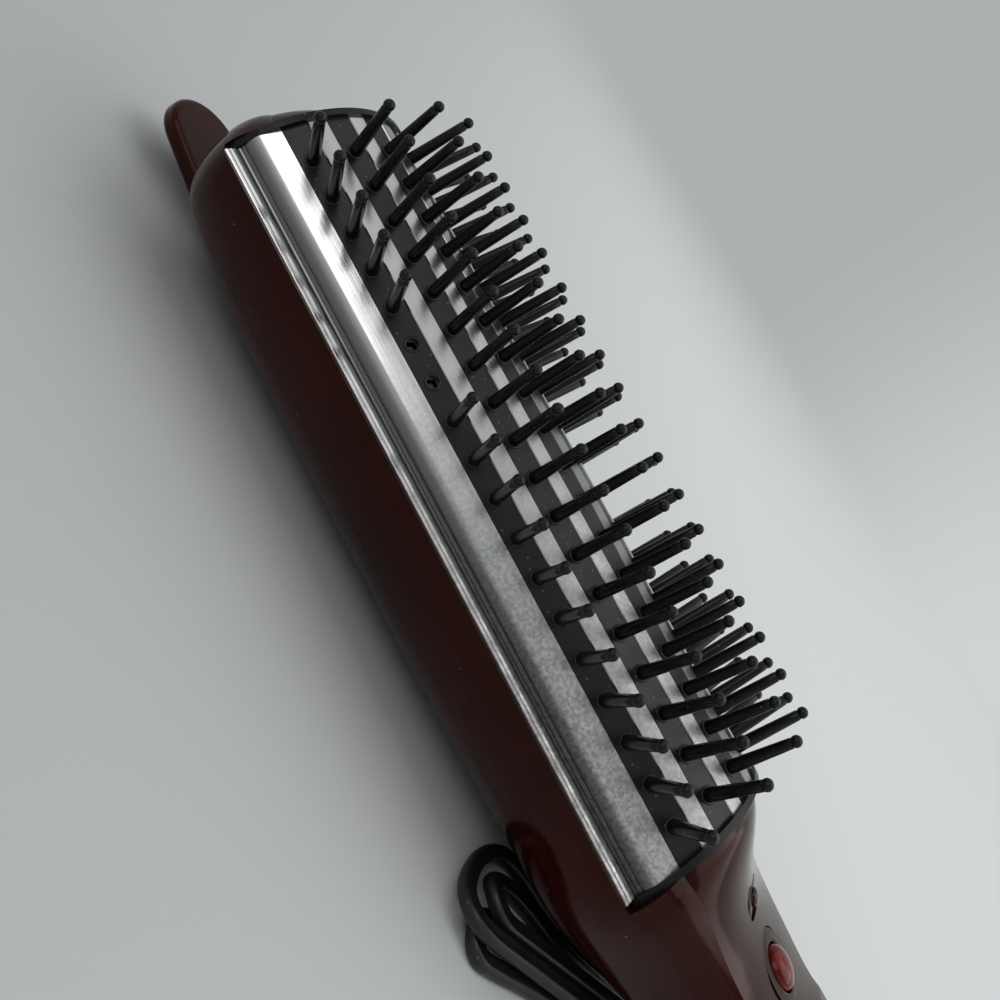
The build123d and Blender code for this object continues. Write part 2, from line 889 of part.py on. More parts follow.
def inner_bight():
    """Back along the inner leg and up round the near end to the top layer."""
    f = floor_layer
    return [hank_point(*p) for p in (
        (hank_turn, inner_leg_n, f), (213.0, inner_leg_n, f), (200.0, -80.8, f),
        (178.0, -80.9, f), (153.0, -81.3, f), (133.0, -81.4, f), (116.0, -80.9, f),
        (104.5, -79.7, f), (97.4, -77.1, f), (91.5, -76.2, f), (86.7, -77.6, f + 0.6),
        (84.4, -81.2, f + 3.15), (87.0, first_run_n, top_layer),
        (hank_start, first_run_n, top_layer),
    )]


def closing_run():
    """Over and down, round the far turn, through the fold and out along the floor."""
    out = 1
    back = -1
    fold_n = (first_run_n + second_run_n) / 2
    return run_edges([
        (hank_start, first_run_n, top_layer, out),
        (130.0, first_run_n, top_layer, out),
        (162.0, third_run_n, top_layer, out),
        (164.0, third_run_n, top_layer, out),
        (182.0, third_run_n, floor_layer, out),
        (hank_turn, third_run_n, floor_layer, out),
        (hank_turn, second_run_n, floor_layer, back),
        (fold_s + 14.0, second_run_n, floor_layer, back),
        (fold_s, fold_n - fold_radius, floor_layer, back),
        (fold_s, fold_n + fold_radius, floor_layer, out),
        (fold_s + 14.0, first_run_n, floor_layer, out),
        (hank_turn, first_run_n, floor_layer, out),
    ])


def hank_edges():
    far_turn = run_edges([(hank_turn, outer_leg_n, floor_layer, 1),
                          (hank_turn, inner_leg_n, floor_layer, -1)])
    return (leading_run() + rounded(outer_bight()).edges() + far_turn
            + rounded(inner_bight()).edges() + closing_run())


def tube(path):
    """Round cord along a path."""
    section = Plane(origin=path @ 0, z_dir=path % 0) * Circle(cord_diameter / 2)
    return sweep(section, path=path)


def build_cord_hank():
    path = Wire(hank_edges())
    hank = tube(path)
    for name, points in (("outer bight", outer_bight()), ("inner bight", inner_bight())):
        print(name, "radii", [round(r, 1) for r in turn_radii(points)])
    report_tube("cord_hank", hank, path)
    return hank


def lead_points():
    """Hand-chosen route: out of the strain relief, round on the floor, into the hank."""
    f = floor_layer
    exit_x = relief_x() + relief_length
    fall = [
        Vector(exit_x, 0, swivel_height),
        Vector(exit_x + 6.6, 0, swivel_height),
        Vector(exit_x + 13.1, 2.5, 17.5),
        Vector(exit_x + 18.1, 8.5, 11.0),
        Vector(exit_x + 20.6, 17.5, f + 4.0),
    ]
    loop = [Vector(x, y, f) for x, y in (
        (184.5, 29), (179.5, 41), (170.5, 50.5), (158.5, 54.5),
    )]
    join = [hank_point(hank_turn + 14.0, fourth_run_n, f), hank_point(hank_turn, fourth_run_n, f)]
    return fall + loop + join


def tail_points():
    """Hand-chosen route: out of the hank, back behind the head, round to the plug."""
    f = floor_layer
    out = [
        hank_point(hank_turn, first_run_n, f), hank_point(hank_turn + 9.0, first_run_n, f),
        hank_point(hank_turn + 18.0, first_run_n + 0.9, f),
    ]
    away = [Vector(x, y, f) for x, y in (
        (149, 68), (150, 76.5), (143.5, 82), (133, 83), (117, 78.5), (97, 69), (72, 59),
        (45, 50.5), (14, 43.5), (-26, 39.5), (-60, 39.5), (-84, 41.5), (-96, 46.5),
    )]
    lift = [
        Vector(-99.5, 54.0, f + 1.5), Vector(-93.0, 60.3, 5.0),
        Vector(-83.0, 62.0, plug_height / 2), Vector(-73.0, 62.0, plug_height / 2),
    ]
    return out + away + lift


def turn_radii(points):
    """Largest radius that each corner's two runs allow."""
    radii = []
    for before, corner, after in zip(points, points[1:], points[2:]):
        run_in = corner - before
        run_out = after - corner
        half_turn = math.radians(run_in.get_angle(run_out)) / 2
        radii.append(0.45 * min(run_in.length, run_out.length) / math.tan(half_turn))
    return radii


def report_tube(name, solid, path):
    section = math.pi * cord_diameter ** 2 / 4
    print(name, "length", round(path.length, 1),
          "volume share", round(solid.volume / (section * path.length), 4))


def rounded(points):
    """Straight runs joined by tangent arcs."""
    return FilletPolyline(*points, radius=turn_radii(points))


def build_cord(name, points):
    path = rounded(points)
    cord = tube(path)
    print(name, "radii", [round(r, 1) for r in turn_radii(points)])
    report_tube(name, cord, path)
    return cord


def plug_frame():
    """Frame at the cord's end, with X along the plug."""
    points = tail_points()
    heading = points[-1] - points[-2]
    return Plane(origin=points[-1], x_dir=heading, z_dir=(0, 0, 1)).location


def build_plug_body():
    """Flat body that narrows towards the cord."""
    outline = closed_face(Polyline(
        (0, -plug_nose_width / 2), (0, plug_nose_width / 2), (plug_length * 0.45, plug_width / 2),
        (plug_length, plug_width / 2), (plug_length, -plug_width / 2),
        (plug_length * 0.45, -plug_width / 2), (0, -plug_nose_width / 2),
    ))
    body = Pos(0, 0, -plug_height / 2) * extrude(outline, plug_height, dir=(0, 0, 1))
    body = fillet(body.edges().filter_by(Axis.Z), 3.0)
    return plug_frame() * body


def build_plug_pins():
    pins = []
    for side in (-1, 1):
        start = (plug_length, side * pin_spacing / 2, 0)
        pins.append(rod(start, (1, 0, 0), plug_pin_radius, plug_pin_length))
    return plug_frame() * Compound(pins)


def hank_gap():
    """Least gap of the hank to itself, measured between points along it."""
    step = 0.8
    points = []
    travelled = 0.0
    for curve in hank_edges():
        count = max(1, round(curve.length / step))
        for i in range(count):
            points.append((travelled + curve.length * i / count, curve @ (i / count)))
        travelled += curve.length
    least = math.inf
    for i, (s, p) in enumerate(points):
        for t, q in points[i + 1:]:
            if t - s > 4 * cord_diameter:
                least = min(least, (p - q).length)
    return least - cord_diameter


nodes = {
    "back_cover": build_back_cover,
    "back_shell": build_back_shell,
    "front_shell": build_front_shell,
    "heating_plate": build_heating_plate,
    "tip_end_cap": lambda: build_end_cap(tip_cap_x),
    "neck_end_cap": lambda: build_end_cap(neck_cap_x),
    "plate_carrier": build_plate_carrier,
    "heater_film": build_heater_film,
    "heater_bar": build_heater_bar,
    "heater_clamp": build_heater_clamp,
    "clamp_screws": build_clamp_screws,
    "thermal_fuse": build_thermal_fuse,
    "circuit_board": build_circuit_board,
    "tact_switch": build_tact_switch,
    "display_lens": build_display_lens,
    "button_ring": build_button_ring,
    "power_button": build_power_button,
    "shell_screws": build_shell_screws,
    "swivel_bush": build_swivel_bush,
    "strain_relief": build_strain_relief,
    "cord_lead": lambda: build_cord("cord_lead", lead_points()),
    "cord_hank": build_cord_hank,
    "cord_tail": lambda: build_cord("cord_tail", tail_points()),
    "plug_body": build_plug_body,
    "plug_pins": build_plug_pins,
}
for number in range(1, row_count + 1):
    nodes[f"bristle_strip_{number}"] = lambda row=number: build_strip(row)
    nodes[f"pin_row_{number}"] = lambda row=number: build_pin_row(row)

os.makedirs("parts", exist_ok=True)
for node, build in nodes.items():
    export_step(build(), f"parts/{node}.step")
print("least gap of the hank to itself", round(hank_gap(), 2))
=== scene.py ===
"""Looks of a heated styling brush that lies on its back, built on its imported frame.

X runs along the brush from the finger tab to the cord, Z is up through the pins and
Y is across. Sizes are written in millimetres and turned into metres where a mesh is made.
Stations and depths in a finish, and the lamps' places and sizes, are written in metres.
"""

from __future__ import annotations

import json
import logging
import math
import random
from dataclasses import dataclass, field
from enum import Enum
from typing import Iterable, Sequence

import bmesh
import bpy
from mathutils import Matrix, Vector

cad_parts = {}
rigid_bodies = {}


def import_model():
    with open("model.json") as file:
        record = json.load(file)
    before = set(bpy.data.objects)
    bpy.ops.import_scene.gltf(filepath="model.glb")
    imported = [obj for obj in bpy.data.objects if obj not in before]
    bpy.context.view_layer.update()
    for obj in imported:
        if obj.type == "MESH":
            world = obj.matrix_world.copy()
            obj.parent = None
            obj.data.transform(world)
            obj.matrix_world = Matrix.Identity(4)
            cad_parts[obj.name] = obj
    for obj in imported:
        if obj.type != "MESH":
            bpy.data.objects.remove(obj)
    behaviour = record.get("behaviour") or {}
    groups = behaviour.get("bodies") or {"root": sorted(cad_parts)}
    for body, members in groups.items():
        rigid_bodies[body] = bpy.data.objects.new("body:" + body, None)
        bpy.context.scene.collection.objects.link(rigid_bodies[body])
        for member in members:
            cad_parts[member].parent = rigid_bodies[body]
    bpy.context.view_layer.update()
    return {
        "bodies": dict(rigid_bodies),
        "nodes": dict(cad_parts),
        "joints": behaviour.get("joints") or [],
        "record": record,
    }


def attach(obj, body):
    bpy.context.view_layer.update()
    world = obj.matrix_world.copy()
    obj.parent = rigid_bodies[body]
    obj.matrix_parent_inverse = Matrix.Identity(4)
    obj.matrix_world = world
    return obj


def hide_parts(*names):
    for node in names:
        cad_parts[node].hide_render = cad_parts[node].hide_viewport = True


LOG = logging.getLogger("brush")
MM = 0.001
Pair = tuple[float, float]
Point = tuple[float, float, float]
Colour = tuple[float, float, float]
Range = tuple[float, float, float, float]
Ring = list[bmesh.types.BMVert]


class Body(Enum):
    """Rigid bodies that pieces ride on."""

    BRUSH = "brush"
    BUTTON = "button"


class Slot(Enum):
    """Material slots of the record."""

    SHELL = "shell"
    PLATE = "plate"
    CAP = "cap"
    STRIP = "strip"
    PINS = "pins"
    CARRIER = "carrier"
    FILM = "film"
    HEATER = "heater"
    STEEL = "steel"
    FUSE = "fuse"
    BOARD = "board"
    SWITCH = "switch"
    LENS = "lens"
    RING = "ring"
    BUTTON = "button"
    BUSH = "bush"
    SLEEVE = "sleeve"
    CORD = "cord"
    PLUG = "plug"
    CONTACT = "contact"


# Shader graphs


class Graph:
    """Short calls for building one node tree."""

    mix_first = 6
    mix_second = 7
    mix_result = 2

    def __init__(self, tree: bpy.types.NodeTree) -> None:
        """Keep the tree.

        Args:
            tree: Node tree of a material or of a group.
        """
        self.tree = tree

    def add(self, kind: str, **settings: object) -> bpy.types.Node:
        """Add a node.

        Args:
            kind: Node type, without its ShaderNode prefix.
            settings: Attributes of the node, or values of its inputs by socket name.

        Returns:
            The new node.
        """
        node = self.tree.nodes.new("ShaderNode" + kind)
        for name, value in settings.items():
            if hasattr(node, name):
                setattr(node, name, value)
            else:
                node.inputs[name.title()].default_value = value
        return node

    def join(self, source: bpy.types.NodeSocket, target: bpy.types.NodeSocket) -> None:
        """Link two sockets."""
        self.tree.links.new(source, target)

    def axes(self, vector: bpy.types.NodeSocket) -> tuple[bpy.types.NodeSocket, ...]:
        """Split a vector.

        Args:
            vector: Socket of the vector.

        Returns:
            The sockets of its X, Y and Z.
        """
        node = self.add("SeparateXYZ")
        self.join(vector, node.inputs[0])
        return tuple(node.outputs)

    def math(self, operation: str, first: object, second: object = 0.0) -> bpy.types.NodeSocket:
        """Arithmetic on two values.

        Args:
            operation: Name of the operation.
            first: Socket or number.
            second: Socket or number.

        Returns:
            The result's socket.
        """
        node = self.add("Math", operation=operation)
        self._feed(node.inputs[0], first)
        self._feed(node.inputs[1], second)
        return node.outputs[0]

    def times(self, first: object, second: object) -> bpy.types.NodeSocket:
        """Product of two sockets or numbers."""
        return self.math("MULTIPLY", first, second)

    def remap(
        self, value: bpy.types.NodeSocket, low: float, high: float, to_low: float = 0.0, to_high: float = 1.0
    ) -> bpy.types.NodeSocket:
        """Smoothly map a value from one range to another.

        Args:
            value: Socket to map.
            low: Start of the source range.
            high: End of the source range.
            to_low: Start of the target range.
            to_high: End of the target range.

        Returns:
            The mapped value's socket.
        """
        node = self.add("MapRange", interpolation_type="SMOOTHSTEP")
        self.join(value, node.inputs[0])
        for index, number in enumerate((low, high, to_low, to_high), start=1):
            node.inputs[index].default_value = number
        return node.outputs[0]

    def mix(self, share: object, first: object, second: object) -> bpy.types.NodeSocket:
        """Blend two colours.

        Args:
            share: Socket or number from 0 to 1.
            first: Colour or socket at 0.
            second: Colour or socket at 1.

        Returns:
            The blended colour's socket.
        """
        node = self.add("Mix", data_type="RGBA")
        self._feed(node.inputs[0], share)
        self._feed(node.inputs[self.mix_first], first)
        self._feed(node.inputs[self.mix_second], second)
        return node.outputs[self.mix_result]

    def _feed(self, socket: bpy.types.NodeSocket, value: object) -> None:
        """Link a socket or set a plain value on it.

        Args:
            socket: Socket to feed.
            value: Another node's socket, a number or a colour.
        """
        if isinstance(value, bpy.types.NodeSocket):
            self.join(value, socket)
        elif isinstance(value, tuple):
            socket.default_value = (*value, 1.0)
        else:
            socket.default_value = value


class Surface(Graph):
    """Graph of one material, with its shader and the coordinates of its piece."""

    gloss_span: Pair = (0.1, 0.9)

    def __init__(self, material: bpy.types.Material) -> None:
        """Find the shader and place the coordinates.

        Args:
            material: Material that uses nodes.
        """
        super().__init__(material.node_tree)
        self.shader = material.node_tree.nodes["Principled BSDF"]
        self.place = self.add("TexCoord").outputs["Object"]

    def feed(self, name: str, value: object) -> None:
        """Feed one of the shader's sockets.

        Args:
            name: The socket's name.
            value: Socket to link, or number or colour to set on the shader itself.
        """
        self._feed(self.shader.inputs[name], value)

    def gloss(self, clouds: bpy.types.NodeSocket, roughness: float, shares: Pair) -> bpy.types.NodeSocket:
        """Roughness that changes with the clouds.

        Args:
            clouds: Socket of the clouds.
            roughness: Plain roughness.
            shares: Shares of it where the clouds are thin and where they are thick.

        Returns:
            The roughness socket.
        """
        low, high = shares
        return self.remap(clouds, *self.gloss_span, roughness * low, roughness * high)

    def bump(self, height: bpy.types.NodeSocket, strength: float, depth: float) -> None:
        """Feed a height into the shader's normal.

        Args:
            height: Height from 0 to 1.
            strength: Strength of the bump.
            depth: Height of 1, in metres.
        """
        node = self.add("Bump", strength=strength, distance=depth)
        self.join(height, node.inputs["Height"])
        self.feed("Normal", node.outputs[0])


class Effect:
    """A shader node group that several finishes share."""

    name = ""
    numbers: dict[str, float] = {}
    middle = 0.5

    def tree(self) -> bpy.types.NodeTree:
        """Find the group's node tree, or build it on its first use.

        Returns:
            The tree.
        """
        found = bpy.data.node_groups.get(self.name)
        if found is not None:
            return found
        tree = bpy.data.node_groups.new(self.name, "ShaderNodeTree")
        tree.interface.new_socket("Vector", in_out="INPUT", socket_type="NodeSocketVector")
        for name, value in self.numbers.items():
            socket = tree.interface.new_socket(name, in_out="INPUT", socket_type="NodeSocketFloat")
            socket.default_value = value
        tree.interface.new_socket("Mask", in_out="OUTPUT", socket_type="NodeSocketFloat")
        graph = Graph(tree)
        given = tree.nodes.new("NodeGroupInput")
        result = tree.nodes.new("NodeGroupOutput")
        graph.join(self.build(graph, given), result.inputs["Mask"])
        return tree

    def build(self, graph: Graph, given: bpy.types.Node) -> bpy.types.NodeSocket:
        """Make the group's nodes.

        Args:
            graph: Graph of the group's tree.
            given: The group's input node.

        Returns:
            The socket of the mask.
        """
        raise NotImplementedError

    def place(self, surface: Surface, **values: float) -> bpy.types.NodeSocket:
        """Put the group into a material.

        Args:
            surface: Surface of the material.
            values: The group's numbers for this material.

        Returns:
            The socket of the mask.
        """
        node = surface.tree.nodes.new("ShaderNodeGroup")
        node.node_tree = self.tree()
        surface.join(surface.place, node.inputs["Vector"])
        for name, value in values.items():
            node.inputs[name.title()].default_value = value
        return node.outputs["Mask"]


class Lines(Effect):
    """Fine lines drawn out along X, as on an extrusion."""

    name = "lengthwise_lines"
    numbers = {"Density": 900.0, "Length": 12.0, "Detail": 4.0}

    def build(self, graph: Graph, given: bpy.types.Node) -> bpy.types.NodeSocket:
        """Make noise that is stretched along X.

        Args:
            graph: Graph of the group's tree.
            given: The group's input node.

        Returns:
            The socket of the mask.
        """
        parts = graph.axes(given.outputs["Vector"])
        joined = graph.add("CombineXYZ")
        for part, number, socket in zip(parts, ("Length", "Density", "Density"), joined.inputs):
            graph.join(graph.times(part, given.outputs[number]), socket)
        noise = graph.add("TexNoise", scale=1.0, roughness=0.62)
        graph.join(joined.outputs[0], noise.inputs["Vector"])
        graph.join(given.outputs["Detail"], noise.inputs["Detail"])
        return noise.outputs[0]


class Mottle(Effect):
    """Soft uneven patches."""

    name = "soft_mottle"
    numbers = {"Size": 60.0, "Contrast": 0.5}
    gain = 4.0

    def build(self, graph: Graph, given: bpy.types.Node) -> bpy.types.NodeSocket:
        """Make noise with its contrast about a half.

        Args:
            graph: Graph of the group's tree.
            given: The group's input node.

        Returns:
            The socket of the mask.
        """
        noise = graph.add("TexNoise", detail=5.0, roughness=0.6)
        graph.join(given.outputs["Vector"], noise.inputs["Vector"])
        graph.join(given.outputs["Size"], noise.inputs["Scale"])
        centred = graph.math("SUBTRACT", noise.outputs[0], self.middle)
        spread = graph.times(centred, given.outputs["Contrast"])
        return graph.math("ADD", graph.times(spread, self.gain), self.middle)


class Specks(Effect):
    """Small round specks, such as dust, thinned out at random."""

    name = "round_specks"
    numbers = {"Spacing": 450.0, "Radius": 0.12, "Share": 0.3}

    def build(self, graph: Graph, given: bpy.types.Node) -> bpy.types.NodeSocket:
        """Make cells with a dot in some of them.

        Args:
            graph: Graph of the group's tree.
            given: The group's input node.

        Returns:
            The socket of the mask.
        """
        cells = graph.add("TexVoronoi")
        graph.join(given.outputs["Vector"], cells.inputs["Vector"])
        graph.join(given.outputs["Spacing"], cells.inputs["Scale"])
        dot = graph.math("LESS_THAN", cells.outputs["Distance"], given.outputs["Radius"])
        chance = graph.add("SeparateColor")
        graph.join(cells.outputs["Color"], chance.inputs[0])
        kept = graph.math("LESS_THAN", chance.outputs[0], given.outputs["Share"])
        return graph.times(dot, kept)


class Scratches(Effect):
    """Hairline scratches in two crossing directions, in patches."""

    name = "hairline_scratches"
    numbers = {"Density": 500.0, "Amount": 0.06}
    turns = ((0.35, 0.2), (-0.6, -0.3))
    stretch = (0.03, 1.0, 1.0)
    amount_share = 0.1
    patch_span: Pair = (0.48, 0.62)

    def build(self, graph: Graph, given: bpy.types.Node) -> bpy.types.NodeSocket:
        """Make two stretched noises, each kept only near its middle value.

        Args:
            graph: Graph of the group's tree.
            given: The group's input node.

        Returns:
            The socket of the mask.
        """
        width = graph.times(given.outputs["Amount"], self.amount_share)
        hairs = []
        for turn, tilt in self.turns:
            turned = graph.add("Mapping", rotation=(tilt, turn, turn), scale=self.stretch)
            graph.join(given.outputs["Vector"], turned.inputs["Vector"])
            noise = graph.add("TexNoise", detail=1.0)
            graph.join(turned.outputs[0], noise.inputs["Vector"])
            graph.join(given.outputs["Density"], noise.inputs["Scale"])
            away = graph.math("ABSOLUTE", graph.math("SUBTRACT", noise.outputs[0], self.middle))
            hairs.append(graph.math("LESS_THAN", away, width))
        patches = graph.add("TexNoise", scale=55.0, detail=2.0)
        graph.join(given.outputs["Vector"], patches.inputs["Vector"])
        shown = graph.remap(patches.outputs[0], *self.patch_span)
        return graph.times(graph.math("MAXIMUM", *hairs), shown)


LINES = Lines()
MOTTLE = Mottle()
SPECKS = Specks()
SCRATCHES = Scratches()


# Finishes


@dataclass(frozen=True)
class Finish:
    """A procedural material with a name and a base colour."""

    name: str
    colour: Colour

    def material(self) -> bpy.types.Material:
        """Find the finish's material, or build it on its first use.

        Returns:
            The material.
        """
        found = bpy.data.materials.get(self.name)
        if found is not None:
            return found
        made = bpy.data.materials.new(self.name)
        made.use_nodes = True
        made.diffuse_color = (*self.colour, 1.0)
        self.shade(Surface(made))
        return made

    def shade(self, surface: Surface) -> None:
        """Feed the shader.

        Args:
            surface: Surface of the material.
        """
        raise NotImplementedError

    def scaled(self, share: float) -> Colour:
        """The base colour at a share of its brightness."""
        return tuple(channel * share for channel in self.colour)


@dataclass(frozen=True)
class GlossMoulding(Finish):
    """Polished moulding with dust, a few hairlines and uneven colour."""

    light: Colour = (0.05, 0.012, 0.01)
    specular: float = 0.5
    roughness: float = 0.08
    haze: float = 1.9
    haze_span: Pair = (0.2, 0.9)
    dust: float = 0.2
    dust_colour: Colour = (0.35, 0.32, 0.3)
    dust_cover: float = 0.35
    dust_roughness: float = 0.2
    scuff_colour: Colour = (0.3, 0.24, 0.22)
    scuff_cover: float = 0.03
    tint: Colour = (1.0, 0.6, 0.52)
    rim: float = 0.0
    rim_roughness: float = 0.35
    rim_tint: Colour = (0.95, 0.62, 0.52)

    def shade(self, surface: Surface) -> None:
        """Dark base with lighter clouds, pale dust and faint hairlines.

        Args:
            surface: Surface of the material.
        """
        clouds = MOTTLE.place(surface, size=26.0, contrast=0.4)
        dust = SPECKS.place(surface, spacing=420.0, radius=0.08, share=self.dust)
        hairs = SCRATCHES.place(surface, density=420.0, amount=0.03)
        base = surface.mix(clouds, self.colour, self.light)
        marked = surface.mix(surface.times(dust, self.dust_cover), base, self.dust_colour)
        scuffed = surface.mix(surface.times(hairs, self.scuff_cover), marked, self.scuff_colour)
        surface.feed("Base Color", scuffed)
        haze = surface.remap(clouds, *self.haze_span, self.roughness, self.roughness * self.haze)
        surface.feed("Roughness", surface.math("ADD", haze, surface.times(dust, self.dust_roughness)))
        surface.feed("Specular IOR Level", self.specular)
        surface.feed("Specular Tint", self.tint)
        surface.feed("Sheen Weight", self.rim)
        surface.feed("Sheen Roughness", self.rim_roughness)
        surface.feed("Sheen Tint", self.rim_tint)
        ripple = MOTTLE.place(surface, size=60.0, contrast=0.3)
        surface.bump(ripple, strength=0.08, depth=0.0002)


@dataclass(frozen=True)
class DrawnMetal(Finish):
    """Drawn metal with lengthwise lines, painted shade in the skirt grooves and a dulled end."""

    roughness: float = 0.2
    dark: Colour = (0.3, 0.295, 0.285)
    # Colour of the painted shade in the skirt grooves.
    painted_groove_shade: Colour = (0.016, 0.012, 0.011)
    face: Colour = (0.5, 0.5, 0.49)
    density: float = 1400.0
    worn_stations: Pair = (-0.085, -0.01)
    face_heights: Pair = (0.0323, 0.0326)
    groove_foot: Pair = (0.0251, 0.0254)
    groove_top: Pair = (0.0303, 0.0276)
    line_span: Pair = (0.55, 0.74)
    cloud_span: Pair = (0.3, 0.9)
    stain_cover: float = 0.6
    streak_span: Pair = (0.5, 0.7)
    streak_cover: float = 0.3
    speckle: Range = (0.2, 0.8, 0.3, 0.8)
    uneven: Range = (0.35, 0.65, 0.76, 1.0)
    gloss_shares: Pair = (0.8, 1.25)
    worn_roughness: float = 0.16
    dent_share: float = 0.5
    line_share: float = 0.6

    def shade(self, surface: Surface) -> None:
        """Bright flanks, painted shade in the skirt grooves, satin ribs and mottling towards the handle.

        Args:
            surface: Surface of the material.
        """
        lines = LINES.place(surface, density=self.density, length=9.0, detail=5.0)
        broad = LINES.place(surface, density=420.0, length=3.0, detail=2.0)
        clouds = MOTTLE.place(surface, size=90.0, contrast=0.55)
        grains = MOTTLE.place(surface, size=1500.0, contrast=0.6)
        along, _, height = surface.axes(surface.place)
        worn = surface.remap(along, *self.worn_stations)
        plain = surface.mix(surface.remap(height, *self.face_heights), self.colour, self.face)
        stain = surface.times(surface.remap(lines, *self.line_span), surface.remap(clouds, *self.cloud_span))
        streak = surface.times(surface.remap(broad, *self.streak_span), self.streak_cover)
        marks = surface.math("MAXIMUM", surface.times(stain, self.stain_cover), streak)
        toned = surface.mix(marks, plain, self.dark)
        speckled = surface.times(worn, surface.remap(grains, *self.speckle))
        dulled = surface.mix(speckled, toned, self.dark)
        # Painted shade: the grooved waist of the skirt is darkened in the base colour by height, unevenly
        # along it.
        above = surface.remap(height, *self.groove_foot)
        below = surface.remap(height, *self.groove_top)
        uneven = surface.remap(broad, *self.uneven)
        shadowed = surface.times(surface.times(above, below), uneven)
        surface.feed("Base Color", surface.mix(shadowed, dulled, self.painted_groove_shade))
        surface.feed("Metallic", 1.0)
        gloss = surface.gloss(clouds, self.roughness, self.gloss_shares)
        surface.feed("Roughness", surface.math("ADD", gloss, surface.times(worn, self.worn_roughness)))
        dents = surface.times(surface.times(grains, worn), self.dent_share)
        relief = surface.math("ADD", surface.times(lines, self.line_share), dents)
        surface.bump(relief, strength=0.4, depth=0.0001)


@dataclass(frozen=True)
class Satin(Finish):
    """Moulded plastic or rubber with a fine grain and a little dust."""

    roughness: float = 0.4
    specular: float = 0.5
    grain: float = 1500.0
    depth: float = 0.00004
    dust: float = 0.25
    dust_colour: Colour = (0.3, 0.3, 0.3)
    dust_cover: float = 0.3
    shade_share: float = 0.7
    gloss_shares: Pair = (0.8, 1.25)

    def shade(self, surface: Surface) -> None:
        """Even dark colour with grain, specks and slightly uneven gloss.

        Args:
            surface: Surface of the material.
        """
        clouds = MOTTLE.place(surface, size=150.0, contrast=0.5)
        dust = SPECKS.place(surface, spacing=700.0, radius=0.13, share=self.dust)
        toned = surface.mix(clouds, self.scaled(self.shade_share), self.colour)
        marked = surface.mix(surface.times(dust, self.dust_cover), toned, self.dust_colour)
        surface.feed("Base Color", marked)
        surface.feed("Roughness", surface.gloss(clouds, self.roughness, self.gloss_shares))
        surface.feed("Specular IOR Level", self.specular)
        grains = MOTTLE.place(surface, size=self.grain, contrast=0.7)
        surface.bump(grains, strength=0.4, depth=self.depth)


@dataclass(frozen=True)
class TintedClear(Finish):
    """Deeply tinted clear moulding with flow marks, painted lighter as streaky highlights, under a polished
    surface.
    """

    # Lighter colour of the painted streaky highlights along the flow marks.
    highlight_streak: Colour = (0.75, 0.06, 0.05)
    roughness: float = 0.1
    specular: float = 0.3
    tint: Colour = (1.0, 0.55, 0.5)
    coat: float = 0.2
    coat_roughness: float = 0.04
    streak_span: Pair = (0.42, 0.72)

    def shade(self, surface: Surface) -> None:
        """Deep colour with lighter flow marks as painted streaky highlights, and a thin clear coat.

        Args:
            surface: Surface of the material.
        """
        streaks_and_highlights = LINES.place(surface, density=380.0, length=120.0, detail=3.0)
        # Painted highlight: the flow marks are lighter in the base colour, as streaky highlights.
        toned = surface.mix(surface.remap(streaks_and_highlights, *self.streak_span), self.colour, self.highlight_streak)
        surface.feed("Base Color", toned)
        surface.feed("Roughness", self.roughness)
        surface.feed("Specular IOR Level", self.specular)
        surface.feed("Specular Tint", self.tint)
        surface.feed("Coat Weight", self.coat)
        surface.feed("Coat Roughness", self.coat_roughness)
        surface.bump(streaks_and_highlights, strength=0.15, depth=0.0001)


@dataclass(frozen=True)
class PlainMetal(Finish):
    """Small metal part with a fine uneven surface."""

    roughness: float = 0.3
    shade_share: float = 0.75
    gloss_shares: Pair = (0.7, 1.3)

    def shade(self, surface: Surface) -> None:
        """Bright metal with faint clouds.

        Args:
            surface: Surface of the material.
        """
        clouds = MOTTLE.place(surface, size=300.0, contrast=0.5)
        surface.feed("Base Color", surface.mix(clouds, self.colour, self.scaled(self.shade_share)))
        surface.feed("Metallic", 1.0)
        surface.feed("Roughness", surface.gloss(clouds, self.roughness, self.gloss_shares))
        grains = MOTTLE.place(surface, size=1200.0, contrast=0.5)
        surface.bump(grains, strength=0.2, depth=0.00005)


